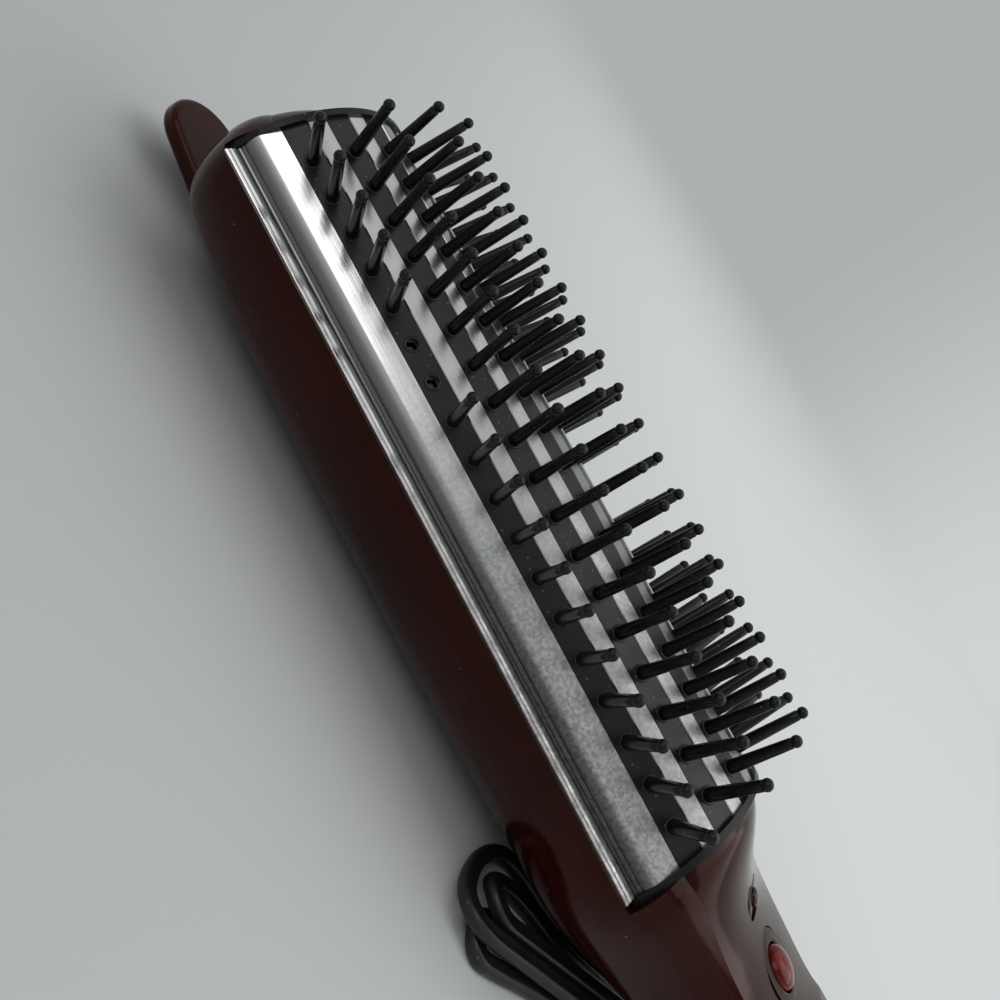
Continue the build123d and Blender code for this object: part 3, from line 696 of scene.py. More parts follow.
@dataclass(frozen=True)
class StudioPaper(Finish):
    """Graduated paper with painted light, lighter towards the key lamp; lit near the object, and further out
    glowing to the eye, brighter on the key lamp's side as painted light.
    """

    # Colour of the paper's painted light, on the key lamp's side.
    lighter: Colour = (0.86, 0.875, 0.865)
    glow_low: Colour = (0.41, 0.43, 0.425)
    glow_high: Colour = (0.63, 0.66, 0.64)
    lit_radius: float = 0.25
    glow_radius: float = 1.3
    slant_share: float = 0.8
    slant_span: Pair = (-0.3, 0.3)
    side_span: Pair = (-0.15, 0.35)
    roughness: float = 0.85
    specular: float = 0.2

    def shade(self, surface: Surface) -> None:
        """Paper with painted light that lightens it towards the handle's far side, with a fine tooth.

        Args:
            surface: Surface of the material.
        """
        along, across, _ = surface.axes(surface.place)
        # Painted light: the paper's colour lightens towards the key lamp, where its light falls.
        slant = surface.math("ADD", along, surface.times(across, self.slant_share))
        painted_light_share = surface.remap(slant, *self.slant_span)
        surface.feed("Base Color", surface.mix(painted_light_share, self.colour, self.lighter))
        surface.feed("Roughness", self.roughness)
        surface.feed("Specular IOR Level", self.specular)
        fibres = MOTTLE.place(surface, size=500.0, contrast=0.4)
        surface.bump(fibres, strength=0.05, depth=0.0001)
        path = surface.add("LightPath").outputs
        mirrored = surface.math("MAXIMUM", path["Is Glossy Ray"], path["Is Transmission Ray"])
        watched = surface.math("MAXIMUM", path["Is Camera Ray"], mirrored)
        measure = surface.add("VectorMath", operation="LENGTH")
        surface.join(surface.place, measure.inputs[0])
        reach = measure.outputs["Value"]
        far = surface.remap(reach, self.lit_radius, self.glow_radius)
        # Painted light: the glowing far paper is brighter towards +X, the key lamp's side.
        side = surface.remap(surface.math("DIVIDE", along, reach), *self.side_span)
        light = surface.add("Emission")
        surface.join(surface.mix(side, self.glow_low, self.glow_high), light.inputs["Color"])
        blend = surface.add("MixShader")
        parts = (surface.times(watched, far), surface.shader.outputs[0], light.outputs[0])
        for part, socket in zip(parts, blend.inputs):
            surface.join(part, socket)
        surface.join(blend.outputs[0], surface.tree.nodes["Material Output"].inputs["Surface"])


SHELL = GlossMoulding(
    "wine_brown_moulding", (0.008, 0.0006, 0.0005), light=(0.034, 0.0036, 0.0022),
    specular=0.2, roughness=0.09, dust=0.18, rim=0.01,
)
METAL = DrawnMetal("extruded_aluminium", (0.84, 0.84, 0.83))
CAP = Satin("black_heat_resistant_moulding", (0.006, 0.006, 0.006), roughness=0.34, specular=0.25)
STRIP = Satin(
    "black_strip_moulding", (0.008, 0.008, 0.009), roughness=0.32, specular=0.36,
    grain=900.0, depth=0.00003, dust=0.5,
)
NYLON = Satin(
    "black_nylon", (0.004, 0.004, 0.0045), roughness=0.26, specular=0.28,
    grain=700.0, depth=0.00002, dust=0.12,
)
INNER = Satin("dark_inner_moulding", (0.03, 0.03, 0.032), roughness=0.5)
AMBER = Satin("amber_film", (0.6, 0.26, 0.04), roughness=0.25)
STEEL = PlainMetal("zinc_plated_steel", (0.62, 0.62, 0.6), roughness=0.35)
CASING = PlainMetal("pressed_aluminium", (0.6, 0.6, 0.6), roughness=0.45)
NICKEL = PlainMetal("nickel_plate", (0.72, 0.7, 0.66), roughness=0.18)
SOLDER_MASK = Satin("green_solder_mask", (0.01, 0.12, 0.04), roughness=0.3)
DARK_LENS = TintedClear(
    "dark_tinted_lens", (0.006, 0.003, 0.003), highlight_streak=(0.02, 0.008, 0.008), roughness=0.06
)
RED_CLEAR = TintedClear(
    "red_clear_moulding", (0.1, 0.002, 0.004), highlight_streak=(0.26, 0.014, 0.016), roughness=0.12
)
RUBBER = Satin(
    "black_cord_cover", (0.012, 0.013, 0.015), roughness=0.36, specular=0.5,
    grain=900.0, depth=0.00003, dust=0.1,
)
PAPER = StudioPaper("studio_paper", (0.52, 0.53, 0.525))


# Mesh helpers


def put(name: str, data: bpy.types.ID) -> bpy.types.Object:
    """Put data into the scene as an object.

    Args:
        name: Name of the object.
        data: Its mesh, curve, lamp or camera.

    Returns:
        The new object.
    """
    added = bpy.data.objects.new(name, data)
    bpy.context.scene.collection.objects.link(added)
    return added


def make_object(
    name: str, mesh: bpy.types.Mesh, finish: Finish, body: Body
) -> bpy.types.Object:
    """Put a mesh on its body.

    Args:
        name: Piece name.
        mesh: Its mesh, in metres.
        finish: Its finish.
        body: Body that it rides on.

    Returns:
        The new object.
    """
    piece = put(name, mesh)
    piece.data.materials.append(finish.material())
    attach(piece, body.value)
    LOG.info("piece %s: %d faces", name, len(mesh.polygons))
    return piece


def mesh_from(build: bmesh.types.BMesh, name: str, smooth_angle: float) -> bpy.types.Mesh:
    """Finish a closed bmesh.

    Args:
        build: The bmesh, in metres.
        name: Name of the mesh.
        smooth_angle: Edges sharper than this many degrees stay sharp.

    Returns:
        The mesh.
    """
    bmesh.ops.recalc_face_normals(build, faces=build.faces)
    for edge in build.edges:
        edge.smooth = len(edge.link_faces) == 2 and edge.calc_face_angle(0.0) < math.radians(smooth_angle)
    return smooth_mesh(build, name)


def smooth_mesh(build: bmesh.types.BMesh, name: str) -> bpy.types.Mesh:
    """Turn a bmesh into a mesh with smooth faces.

    Args:
        build: The bmesh, in metres.
        name: Name of the mesh.

    Returns:
        The mesh.
    """
    for face in build.faces:
        face.smooth = True
    mesh = bpy.data.meshes.new(name)
    build.to_mesh(mesh)
    build.free()
    return mesh


def turned_rings(
    build: bmesh.types.BMesh, profile: Sequence[Pair], place: Matrix, sides: int
) -> list[Ring]:
    """Points of a profile that is turned about its own Z axis.

    Args:
        build: Bmesh to add to.
        profile: Radius and height pairs in millimetres, with a radius of 0 for a tip.
        place: Frame of the turned form, in metres.
        sides: Number of sides.

    Returns:
        A ring of points for each pair, or one point for a tip.
    """
    rings = []
    for radius, height in profile:
        ring = []
        for index in range(sides if radius else 1):
            angle = 2 * math.pi * index / sides
            spot = Vector((radius * math.cos(angle), radius * math.sin(angle), height)) * MM
            ring.append(build.verts.new(place @ spot))
        rings.append(ring)
    return rings


def loft(build: bmesh.types.BMesh, rings: Sequence[Ring], capped: bool = True) -> None:
    """Join each ring of points to the next one with faces.

    Args:
        build: Bmesh to add to.
        rings: Rings in order, all with as many points, apart from tips of one point.
        capped: Whether each end ring gets a face, unless it is a tip.
    """
    sides = max(len(ring) for ring in rings)
    for low, high in zip(rings, rings[1:]):
        for index in range(sides):
            after = (index + 1) % sides
            face = [low[0]] if len(low) == 1 else [low[index], low[after]]
            face += [high[0]] if len(high) == 1 else [high[after], high[index]]
            build.faces.new(face)
    for ring in (rings[0][::-1], rings[-1]):
        if capped and len(ring) > 1:
            build.faces.new(ring)


def lathe(build: bmesh.types.BMesh, profile: Sequence[Pair], place: Matrix, sides: int) -> None:
    """Turn a profile about its own Z axis and add it.

    Args:
        build: Bmesh to add to.
        profile: Radius and height pairs in millimetres, which may end where they start.
        place: Frame of the turned form, in metres.
        sides: Number of sides.
    """
    loft(build, turned_rings(build, profile, place, sides), capped=profile[0] != profile[-1])


def dome_profile(radius: float, base: float, rise: float, steps: int) -> list[Pair]:
    """Profile of a dome from inside its rim to its top.

    Args:
        radius: Radius of its rim.
        base: Height of its rim.
        rise: Height of its top over its rim.
        steps: Number of steps from the rim to the top.

    Returns:
        Radius and height pairs, without the rim's own.
    """
    angles = [math.pi / 2 * step / steps for step in range(1, steps)]
    return [(radius * math.cos(a), base + rise * math.sin(a)) for a in angles] + [(0.0, base + rise)]


def dress_node(
    frame: dict, node: str, finish: Finish, smooth_angle: float = 32.0
) -> bpy.types.Object:
    """Give a node of the frame its finish and soft shading.

    Args:
        frame: What the frame's load returned.
        node: Name of the node.
        finish: Its finish.
        smooth_angle: Edges sharper than this many degrees stay sharp.

    Returns:
        The node's object.
    """
    piece = frame["nodes"][node]
    piece.data.materials.clear()
    piece.data.materials.append(finish.material())
    for face in piece.data.polygons:
        face.use_smooth = True
    piece.data.set_sharp_from_angle(angle=math.radians(smooth_angle))
    LOG.info("node %s: %s", node, finish.name)
    return piece


# Camera, stage and lights


@dataclass
class Camera:
    """The photograph's viewpoint."""

    place: Point = (-39.19, -152.96, 94.29)
    right: Point = (0.48857, 0.2803, 0.82628)
    up: Point = (-0.8654, 0.03485, 0.49988)
    back: Point = (0.11132, -0.95928, 0.25959)
    sensor: float = 36.0
    lens: float = 33.58
    shift: Pair = (-0.0927, -0.1268)
    clip: Pair = (0.005, 50.0)

    def build(self) -> None:
        """Make the camera and use it for the scene."""
        data = bpy.data.cameras.new("camera")
        data.sensor_width = self.sensor
        data.lens = self.lens
        data.shift_x, data.shift_y = self.shift
        data.clip_start, data.clip_end = self.clip
        camera = put("camera", data)
        axes = Matrix((self.right, self.up, self.back)).transposed().to_4x4()
        camera.matrix_world = Matrix.Translation(Vector(self.place) * MM) @ axes
        bpy.context.scene.camera = camera


@dataclass(frozen=True)
class Lamp:
    """Square soft lamp, with its place, target and side in metres and its power in watts."""

    name: str
    place: Point
    size: float
    power: float
    target: Point = (0.0, 0.0, 0.03)

    def hang(self) -> None:
        """Add the lamp to the scene, pointing at its target."""
        data = bpy.data.lights.new(self.name, "AREA")
        data.shape = "SQUARE"
        data.size = self.size
        data.energy = self.power
        lamp = put(self.name, data)
        lamp.location = self.place
        lamp.rotation_mode = "QUATERNION"
        lamp.rotation_quaternion = (Vector(self.target) - Vector(self.place)).to_track_quat("-Z", "Y")


@dataclass
class Studio:
    """Round paper stage whose rim curves up, with soft lamps over it."""

    flat_radius: float = 1500.0
    curve_radius: float = 1400.0
    wall_height: float = 2400.0
    sides: int = 96
    flat_steps: int = 6
    curve_steps: int = 24
    sky: Colour = (0.93, 0.97, 1.0)
    sky_strength: float = 0.36
    lamps: tuple[Lamp, ...] = (
        Lamp("key_window", (0.9, 0.35, 1.5), size=1.7, power=10.0),
        Lamp("front_fill", (-0.86, -0.95, 1.0), size=0.9, power=3.4),
        Lamp("top_soft", (-0.25, 0.4, 1.9), size=2.4, power=9.5),
    )

    def build(self) -> None:
        """Make the stage, the sky and the lamps."""
        self._paper()
        self._world()
        for lamp in self.lamps:
            lamp.hang()

    def _paper(self) -> None:
        """Turn the stage's profile about Z, with its faces towards the object."""
        profile = [(self.flat_radius * step / self.flat_steps, 0.0) for step in range(self.flat_steps + 1)]
        for step in range(1, self.curve_steps + 1):
            angle = math.pi / 2 * step / self.curve_steps
            rise = self.curve_radius * (1 - math.cos(angle))
            profile.append((self.flat_radius + self.curve_radius * math.sin(angle), rise))
        profile.append((self.flat_radius + self.curve_radius, self.wall_height))
        build = bmesh.new()
        rings = turned_rings(build, profile, Matrix(), self.sides)
        loft(build, rings[::-1], capped=False)
        stage = put("stage", smooth_mesh(build, "stage"))
        stage.data.materials.append(PAPER.material())

    def _world(self) -> None:
        """Even pale sky light."""
        world = bpy.data.worlds.new("sky")
        world.use_nodes = True
        light = world.node_tree.nodes["Background"]
        light.inputs["Color"].default_value = (*self.sky, 1.0)
        light.inputs["Strength"].default_value = self.sky_strength
        bpy.context.scene.world = world


# The brush


@dataclass
class Head:
    """Sizes that the plate, its strips and its pins share."""

    plate_x: float = -115.9
    plate_length: float = 131.0
    first_pin: float = 7.0
    pin_pitch: float = 7.0
    pins: int = 18
    rows: int = 6
    row_pitch: float = 8.0
    dome_radius: float = 24.0
    dome_centre: float = 18.0
    missing: dict[int, tuple[int, ...]] = field(default_factory=lambda: {1: (5, 6)})

    def row_angle(self, row: int) -> float:
        """Angle of a row about the dome's centre, from Z towards the back, in radians."""
        return (row - (self.rows + 1) / 2) * self.row_pitch / self.dome_radius

    def row_frame(self, row: int) -> Matrix:
        """Frame at the dome's centre with Z out through a row, in metres."""
        centre = Matrix.Translation((0, 0, self.dome_centre * MM))
        return centre @ Matrix.Rotation(-self.row_angle(row), 4, "X")

    def pin_xs(self) -> list[float]:
        """Stations of the pins along X, in millimetres."""
        return [self.plate_x + self.first_pin + self.pin_pitch * i for i in range(self.pins)]


@dataclass
class HeatingPlate:
    """Drawn plate: domed face with T slots, grooved skirts and a flared lip."""

    head: Head
    seam: float = 24.4
    slot_half: float = 2.3
    base_half: float = 2.8
    step_radius: float = 22.3
    floor_radius: float = 20.6
    inner_radius: float = 18.4
    edge_break: float = 0.16
    arc_steps: int = 5
    arch_steps: int = 12
    smooth_angle: float = 10.0
    lip: tuple[Pair, ...] = ((24.5, 0.0), (24.5, 0.22), (24.38, 0.34), (24.05, 0.46))
    grooves: tuple[Pair, ...] = (
        (23.98, 0.34), (23.88, 0.38), (23.84, 0.58), (23.45, 0.76), (23.36, 0.56), (23.12, 0.64),
        (23.06, 0.94), (22.82, 1.1), (22.74, 0.92), (22.58, 0.98), (22.52, 1.32), (22.36, 1.56),
        (22.16, 1.6), (22.14, 1.85), (22.3, 1.9), (22.24, 2.35), (22.06, 2.4), (22.04, 2.6),
    )
    skirt: tuple[Pair, ...] = (
        (22.18, 2.65), (22.12, 3.2), (22.0, 3.9), (21.82, 4.6), (21.55, 5.2), (21.2, 5.65),
    )
    inner_skirt: tuple[Pair, ...] = ((20.9, 0.0), (19.6, 3.0))

    def _slot(self, row: int) -> list[Pair]:
        """Outline of one T slot across the plate, with broken top edges.

        Args:
            row: Number of the row, from 1.

        Returns:
            Points across the plate, in millimetres.
        """
        angle = self.head.row_angle(row)
        top = math.sqrt((self.head.dome_radius - self.edge_break) ** 2 - self.slot_half ** 2)
        half = [
            (self.slot_half, top), (self.slot_half, self.step_radius),
            (self.base_half, self.step_radius), (self.base_half, self.floor_radius),
        ]
        local = [(-t, u) for t, u in half] + half[::-1]
        return [
            (t * math.cos(angle) + u * math.sin(angle),
             self.head.dome_centre - t * math.sin(angle) + u * math.cos(angle))
            for t, u in local
        ]

    def _rib(self, row: int) -> list[Pair]:
        """Outline of the dome between one row's slot and the next.

        Args:
            row: Number of the row, from 1.

        Returns:
            Points across the plate, in millimetres.
        """
        inset = math.asin((self.slot_half + self.edge_break) / self.head.dome_radius)
        start = self.head.row_angle(row) + inset
        end = self.head.row_angle(row + 1) - inset
        turn = (end - start) / self.arc_steps
        return [self._dome(self.head.dome_radius, start + turn * i) for i in range(self.arc_steps + 1)]

    def _dome(self, radius: float, angle: float) -> Pair:
        """Point of a circle about the dome's centre, with the angle from Z."""
        return (radius * math.sin(angle), self.head.dome_centre + radius * math.cos(angle))

    def outline(self) -> list[Pair]:
        """Closed outline across the plate.

        Returns:
            Points across the plate, in millimetres.
        """
        flank = [(y, self.seam + rise) for y, rise in self.lip + self.grooves + self.skirt]
        points = [(-y, z) for y, z in flank]
        for row in range(1, self.head.rows + 1):
            points += self._slot(row)
            if row < self.head.rows:
                points += self._rib(row)
        points += flank[::-1]
        inner = [(y, self.seam + rise) for y, rise in self.inner_skirt]
        widest = self.head.row_angle(self.head.rows)
        shares = [1 - 2 * i / self.arch_steps for i in range(self.arch_steps + 1)]
        arch = [self._dome(self.inner_radius, widest * share) for share in shares]
        return points + inner + arch + [(-y, z) for y, z in reversed(inner)]

    def build(self) -> None:
        """Draw the outline out along X and let it stand for its node."""
        build = bmesh.new()
        outline = self.outline()
        ends = []
        for x in (self.head.plate_x, self.head.plate_x + self.head.plate_length):
            ends.append([build.verts.new((x * MM, y * MM, z * MM)) for y, z in outline])
        loft(build, ends)
        name = "plate_extrusion"
        piece = make_object(name, mesh_from(build, name, self.smooth_angle), METAL, Body.BRUSH)
        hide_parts("heating_plate")


@dataclass
class PinRow:
    """A row of tapered pins with ball tips."""

    head: Head
    row: int
    length: float = 13.5
    sunk: float = 1.2
    foot: float = 0.2
    root_radius: float = 1.14
    neck_radius: float = 0.88
    neck_share: float = 0.9
    neck_steps: int = 6
    ball_radius: float = 1.0
    ball_degrees: tuple[int, ...] = (-42, -25, -8, 10, 28, 46, 62, 78)
    lean: float = 0.8
    tilt: float = 0.6
    seed: int = 40
    sides: int = 20
    smooth_angle: float = 60.0

    def profile(self) -> list[Pair]:
        """Profile of one pin, from its root to its tip.

        Returns:
            Radius and height pairs, with the heights from the dome's centre.
        """
        surface = self.head.dome_radius
        foot = surface + self.foot
        ball = surface + self.length - self.ball_radius
        neck = ball - self.ball_radius * self.neck_share
        points = [(self.root_radius, surface - self.sunk)]
        for step in range(self.neck_steps + 1):
            share = step / self.neck_steps
            radius = self.root_radius + (self.neck_radius - self.root_radius) * share
            points.append((radius, foot + (neck - foot) * share))
        for degrees in self.ball_degrees:
            angle = math.radians(degrees)
            points.append((self.ball_radius * math.cos(angle), ball + self.ball_radius * math.sin(angle)))
        points.append((0.0, surface + self.length))
        return points

    def build(self) -> None:
        """Make the row and let it stand for its node."""
        build = bmesh.new()
        absent = self.head.missing.get(self.row, ())
        scatter = random.Random(self.seed + self.row)
        back = Matrix.Translation((0, 0, -self.head.dome_radius * MM))
        for index, x in enumerate(self.head.pin_xs()):
            if index in absent:
                continue
            lean = Matrix.Rotation(math.radians(scatter.uniform(-self.lean, self.lean)), 4, "Y")
            tilt = Matrix.Rotation(math.radians(scatter.uniform(-self.tilt, self.tilt)), 4, "X")
            foot = Matrix.Translation((x * MM, 0, self.head.dome_radius * MM))
            place = self.head.row_frame(self.row) @ foot @ lean @ tilt @ back
            lathe(build, self.profile(), place, self.sides)
        name = f"pins_{self.row}"
        piece = make_object(name, mesh_from(build, name, self.smooth_angle), NYLON, Body.BRUSH)
        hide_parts(f"pin_row_{self.row}")


@dataclass
class SocketCollars:
    """Low collars moulded round each pin's socket."""

    head: Head
    row: int
    inner_radius: float = 0.98
    outer_radius: float = 1.48
    recess: float = 0.3
    sunk: float = 0.15
    height: float = 0.16
    outer_break: float = 0.12
    inner_break: float = 0.08
    sides: int = 24
    smooth_angle: float = 50.0

    def build(self) -> None:
        """Make the row's collars."""
        build = bmesh.new()
        face = self.head.dome_radius - self.recess
        low = face - self.sunk
        top = face + self.height
        profile = [
            (self.inner_radius, low), (self.outer_radius, low),
            (self.outer_radius, top - self.outer_break), (self.outer_radius - self.outer_break, top),
            (self.inner_radius + self.inner_break, top), (self.inner_radius, top - self.inner_break),
            (self.inner_radius, low),
        ]
        for x in self.head.pin_xs():
            place = self.head.row_frame(self.row) @ Matrix.Translation((x * MM, 0, 0))
            lathe(build, profile, place, self.sides)
        name = f"collars_{self.row}"
        make_object(name, mesh_from(build, name, self.smooth_angle), STRIP, Body.BRUSH)


@dataclass
class BrushHead:
    """Plate, strips, pins and end caps."""

    frame: dict
    head: Head = field(default_factory=Head)

    def dress(self) -> None:
        """Finish the head's nodes and build its plate, collars and pins."""
        HeatingPlate(self.head).build()
        for node in ("tip_end_cap", "neck_end_cap"):
            dress_node(self.frame, node, CAP)
        for row in range(1, self.head.rows + 1):
            dress_node(self.frame, f"bristle_strip_{row}", STRIP)
            SocketCollars(self.head, row).build()
            PinRow(self.head, row).build()


@dataclass
class PowerButton:
    """Small domed cap on its stem, and the flush bezel that closes the seat round it."""

    x: float = 43.6
    crown: float = 30.8
    radius: float = 3.5
    proud: float = 0.3
    shoulder: tuple[Pair, ...] = ((0.0, 0.25), (0.07, 0.07))
    dome: float = 1.5
    dome_inset: float = 0.15
    dome_steps: int = 9
    gap: float = 0.25
    seat_radius: float = 6.05
    seat_depth: float = 0.95
    flange_radius: float = 5.6
    flange_low: float = 27.8
    flange_top: float = 28.4
    stem_radius: float = 1.7
    stem_low: float = 26.4
    bezel_edge: Pair = (0.12, 0.06)
    bezel_lip: tuple[Pair, ...] = ((0.75, 0.12), (0.3, 0.22), (0.08, 0.14), (0.0, 0.0))
    sides: int = 48
    smooth_angle: float = 40.0

    def _turned(self, name: str, profile: Sequence[Pair]) -> bpy.types.Mesh:
        """Turn a profile about the button's axis.

        Args:
            name: Name of the mesh.
            profile: Radius and height pairs, in millimetres.

        Returns:
            The mesh.
        """
        build = bmesh.new()
        lathe(build, profile, Matrix.Translation((self.x * MM, 0, 0)), self.sides)
        return mesh_from(build, name, self.smooth_angle)

    def cap(self) -> None:
        """Turn the cap with its flange and stem, and let it stand for its node."""
        rim = self.crown + self.proud
        profile = [
            (0.0, self.stem_low), (self.stem_radius, self.stem_low), (self.stem_radius, self.flange_low),
            (self.flange_radius, self.flange_low), (self.flange_radius, self.flange_top),
            (self.radius, self.flange_top),
        ]
        profile += [(self.radius - inset, rim - drop) for inset, drop in self.shoulder]
        profile += dome_profile(self.radius - self.dome_inset, rim, self.dome, self.dome_steps)
        name = "button_cap"
        piece = make_object(name, self._turned(name, profile), RED_CLEAR, Body.BUTTON)
        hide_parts("power_button")

    def bezel(self) -> None:
        """Turn the bezel round the cap, and let it stand for its node."""
        low = self.crown - self.seat_depth
        inner = self.radius + self.gap
        inset, rise = self.bezel_edge
        profile = [
            (inner, low), (self.seat_radius, low), (self.seat_radius, self.crown - rise),
            (self.seat_radius - inset, self.crown + rise),
        ]
        profile += [(inner + out, self.crown + up) for out, up in self.bezel_lip]
        profile.append((inner, low))
        name = "button_bezel"
        piece = make_object(name, self._turned(name, profile), SHELL, Body.BRUSH)
        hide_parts("button_ring")


@dataclass
class Indicator:
    """Round lens on a filled pocket in the neck's slope."""

    x: float = 31.9
    crown: float = 32.92
    slope: float = 25.0
    sink: float = 0.9
    pocket: Pair = (4.5, 8.9)
    straight: float = 0.3
    floor: float = 0.02
    plate_top: float = 0.3
    plate_break: Pair = (0.15, 0.12)
    radius: float = 1.5
    foot: float = 0.3
    seat: float = 0.15
    rise: float = 0.75
    dome_steps: int = 8
    sides: int = 32
    smooth_angle: float = 40.0

    def pocket_frame(self) -> Matrix:
        """Frame on the pocket's floor with Z out of the slope.

        Returns:
            The frame, in metres.
        """
        spot = Matrix.Translation((self.x * MM, 0, self.crown * MM))
        turn = Matrix.Rotation(math.radians(self.slope), 4, "Y")
        return spot @ turn @ Matrix.Translation((0, 0, -self.sink * MM))

    def _ring(self, inset: float, height: float) -> list[Vector]:
        """Outline of the pocket at one height.

        Args:
            inset: Distance in from the pocket's wall, in millimetres.
            height: Height over the pocket's floor, in millimetres.

        Returns:
            Its points, in metres.
        """
        length, width = self.pocket
        corner = length / 2 - self.straight
        frame = self.pocket_frame()
        points = []
        for step in range(self.sides):
            angle = 2 * math.pi * step / self.sides
            along = math.copysign(length / 2 - corner, math.cos(angle)) + (corner - inset) * math.cos(angle)
            across = math.copysign(width / 2 - corner, math.sin(angle)) + (corner - inset) * math.sin(angle)
            points.append(frame @ (Vector((along, across, height)) * MM))
        return points

    def bezel(self) -> None:
        """Fill the pocket with a plate, flush with the neck."""
        inset, drop = self.plate_break
        top = self.sink - self.plate_top
        levels = ((0.0, self.floor), (0.0, top - drop), (inset, top))
        build = bmesh.new()
        loft(build, [[build.verts.new(point) for point in self._ring(*level)] for level in levels])
        name = "indicator_bezel"
        make_object(name, mesh_from(build, name, self.smooth_angle), SHELL, Body.BRUSH)

    def lens(self) -> None:
        """Turn the domed lens and let it stand for its node."""
        base = self.sink - self.seat
        profile = [(0.0, self.foot), (self.radius, self.foot), (self.radius, base)]
        profile += dome_profile(self.radius, base, self.rise, self.dome_steps)
        build = bmesh.new()
        lathe(build, profile, self.pocket_frame(), self.sides)
        name = "indicator_lens"
        mesh = mesh_from(build, name, self.smooth_angle)
        piece = make_object(name, mesh, DARK_LENS, Body.BRUSH)
        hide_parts("display_lens")


@dataclass
class Housing:
    """Shells, button, indicator and what is inside them."""

    frame: dict

    def dress(self) -> None:
        """Finish the housing's nodes and build its button and indicator."""
        for node in ("back_cover", "back_shell", "front_shell"):
            dress_node(self.frame, node, SHELL)
        button = PowerButton()
        button.cap()
        button.bezel()
        indicator = Indicator()
        indicator.bezel()
        indicator.lens()
        inner = (
            ("plate_carrier", INNER, Slot.CARRIER), ("heater_film", AMBER, Slot.FILM),
            ("heater_bar", CASING, Slot.HEATER), ("heater_clamp", STEEL, Slot.STEEL),
            ("clamp_screws", STEEL, Slot.STEEL), ("thermal_fuse", CASING, Slot.FUSE),
            ("circuit_board", SOLDER_MASK, Slot.BOARD), ("tact_switch", INNER, Slot.SWITCH),
            ("shell_screws", STEEL, Slot.STEEL), ("swivel_bush", INNER, Slot.BUSH),
        )
        for node, finish, slot in inner:
            dress_node(self.frame, node, finish)


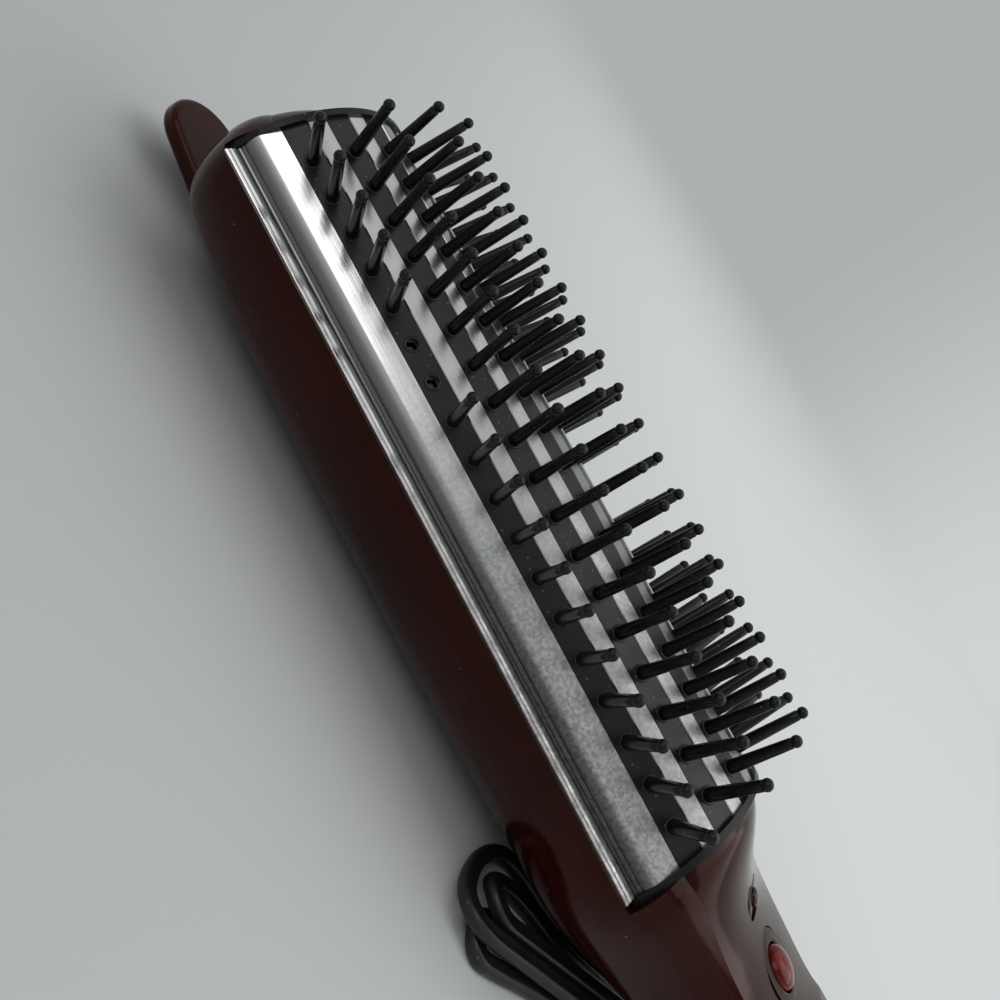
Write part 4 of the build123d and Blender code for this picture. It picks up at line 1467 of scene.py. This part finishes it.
@dataclass
class MainsCord:
    """Flat twin cord from the strain relief through the hank to the plug."""

    frame: dict
    heading: float = 33.0
    origin_x: float = -108.9
    floor: float = 1.42
    top: float = 4.67
    width: float = 2.8
    thickness: float = 2.5
    length: float = 1.33
    core_turn: float = 115.0
    core_steps: int = 8
    spline_order: int = 3
    spline_steps: int = 10

    def hank_point(self, s: float, n: float, z: float) -> Point:
        """Turn a point of the hank's own frame into the brush's frame.

        Args:
            s: Distance along the hank, in millimetres.
            n: Distance across it.
            z: Height.

        Returns:
            The point, in millimetres.
        """
        angle = math.radians(self.heading)
        x = s * math.cos(angle) - n * math.sin(angle)
        y = s * math.sin(angle) + n * math.cos(angle)
        return (self.origin_x + x, y, z)

    def lead(self) -> list[Point]:
        """Route from the strain relief to the hank.

        Returns:
            Control points, in millimetres.
        """
        f = self.floor
        return [
            (164.9, 0.0, 21.5), (171.5, 0.0, 21.5), (178.0, 2.5, 17.5), (183.0, 8.5, 11.0),
            (185.5, 17.5, f + 4.0), (184.5, 29.0, f), (179.5, 41.0, f), (170.5, 50.5, f),
            (158.5, 54.5, f), self.hank_point(239.0, -97.4, f),
        ]

    def hank(self) -> list[Point]:
        """Route through the hank's runs, its two near bights and its fold.

        Returns:
            Control points, in millimetres.
        """
        f, t = self.floor, self.top
        runs = [
            (187.0, -97.4, f), (175.5, -97.4, f), (165.5, -97.4, t), (153.0, -97.4, t),
            (133.0, -88.3, t), (117.0, -88.3, t), (92.0, -88.3, t), (82.9, -88.3, t),
            (80.4, -84.3, f + 1.4), (81.9, -78.8, f), (84.8, -74.0, f), (89.8, -71.3, f),
            (95.8, -72.2, f), (102.5, -75.5, f), (111.0, -77.1, f), (121.0, -77.65, f),
            (133.0, -77.85, f), (150.0, -78.0, f), (175.0, -77.4, f), (200.0, -76.3, f),
            (213.0, -75.5, f), (222.1, -75.5, f), (227.9, -75.5, f), (227.9, -81.3, f),
            (222.1, -81.3, f), (213.0, -81.3, f), (200.0, -80.8, f), (178.0, -80.9, f),
            (153.0, -81.3, f), (133.0, -81.4, f), (116.0, -80.9, f), (104.5, -79.7, f),
            (97.4, -77.1, f), (91.5, -76.2, f), (86.7, -77.6, f + 0.6), (84.4, -81.2, f + 3.15),
            (87.0, -85.0, t), (92.0, -85.0, t), (120.0, -85.0, t), (136.0, -85.0, t),
            (156.0, -94.1, t), (168.5, -94.1, t), (178.5, -94.1, f), (190.0, -94.1, f),
            (222.1, -94.1, f), (227.9, -94.1, f), (227.9, -88.3, f), (222.1, -88.3, f),
            (108.0, -88.3, f), (97.0, -88.9, f), (90.5, -89.7, f), (84.7, -89.9, f),
            (84.7, -83.4, f), (90.5, -83.6, f), (97.0, -84.4, f), (108.0, -85.0, f),
        ]
        return [self.hank_point(*p) for p in runs]

    def tail(self) -> list[Point]:
        """Route from the hank, behind the head, to the plug.

        Returns:
            Control points, in millimetres.
        """
        f = self.floor
        out = [self.hank_point(234.0, -85.0, f), self.hank_point(243.0, -84.1, f)]
        away = [
            (149.0, 68.0), (150.0, 76.5), (143.5, 82.0), (133.0, 83.0), (117.0, 78.5),
            (97.0, 69.0), (72.0, 59.0), (45.0, 50.5), (14.0, 43.5), (-26.0, 39.5),
            (-60.0, 39.5), (-84.0, 41.5), (-96.0, 46.5),
        ]
        lift = [(-99.5, 54.0, f + 1.5), (-93.0, 60.3, 5.0), (-83.0, 62.0, 6.8), (-73.0, 62.0, 6.8)]
        return out + [(x, y, f) for x, y in away] + lift

    def section(self) -> bpy.types.Object:
        """Make the outline of the twin cord, with a groove between its two cores.

        Returns:
            The curve to bevel the cord with.
        """
        half = self.width / 4
        outline = []
        for side in (1, -1):
            for step in range(self.core_steps + 1):
                angle = math.radians(self.core_turn * (2 * step / self.core_steps - 1))
                y = side * (half + half * math.cos(angle))
                z = side * self.thickness / 2 * math.sin(angle)
                outline.append((y, z))
        data = bpy.data.curves.new("cord_section", "CURVE")
        data.dimensions = "2D"
        spline = data.splines.new("POLY")
        spline.points.add(len(outline) - 1)
        for point, (y, z) in zip(spline.points, outline):
            point.co = (y * MM, z * MM, 0, 1)
        spline.use_cyclic_u = True
        section = put("cord_section", data)
        section.hide_render = True
        return section

    def build(self) -> None:
        route = self.lead() + self.hank() + self.tail()
        data = bpy.data.curves.new("mains_cord", "CURVE")
        data.dimensions = "3D"
        spline = data.splines.new("NURBS")
        spline.points.add(len(route) - 1)
        for point, place in zip(spline.points, route):
            point.co = (*(coordinate * MM for coordinate in place), 1)
        spline.order_u = self.spline_order
        spline.use_endpoint_u = True
        spline.resolution_u = self.spline_steps
        data.twist_mode = "Z_UP"
        data.bevel_mode = "OBJECT"
        data.bevel_object = self.section()
        data.use_fill_caps = True
        data.materials.append(RUBBER.material())
        cord = put("mains_cord", data)
        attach(cord, Body.BRUSH.value)
        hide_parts("cord_lead", "cord_hank", "cord_tail")
        relief = dress_node(self.frame, "strain_relief", RUBBER)
        plug = dress_node(self.frame, "plug_body", RUBBER)
        pins = dress_node(self.frame, "plug_pins", NICKEL)
        LOG.info("piece mains_cord: %d control points", len(route))


def main() -> None:
    """Build the scene round the frame."""
    logging.basicConfig(level=logging.INFO, format="%(name)s: %(message)s")
    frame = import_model()
    bpy.context.scene.view_settings.view_transform = "Standard"
    Camera().build()
    MainsCord(frame).build()
    Studio().build()
    Housing(frame).dress()
    BrushHead(frame).dress()


if __name__ == "__main__":
    main()
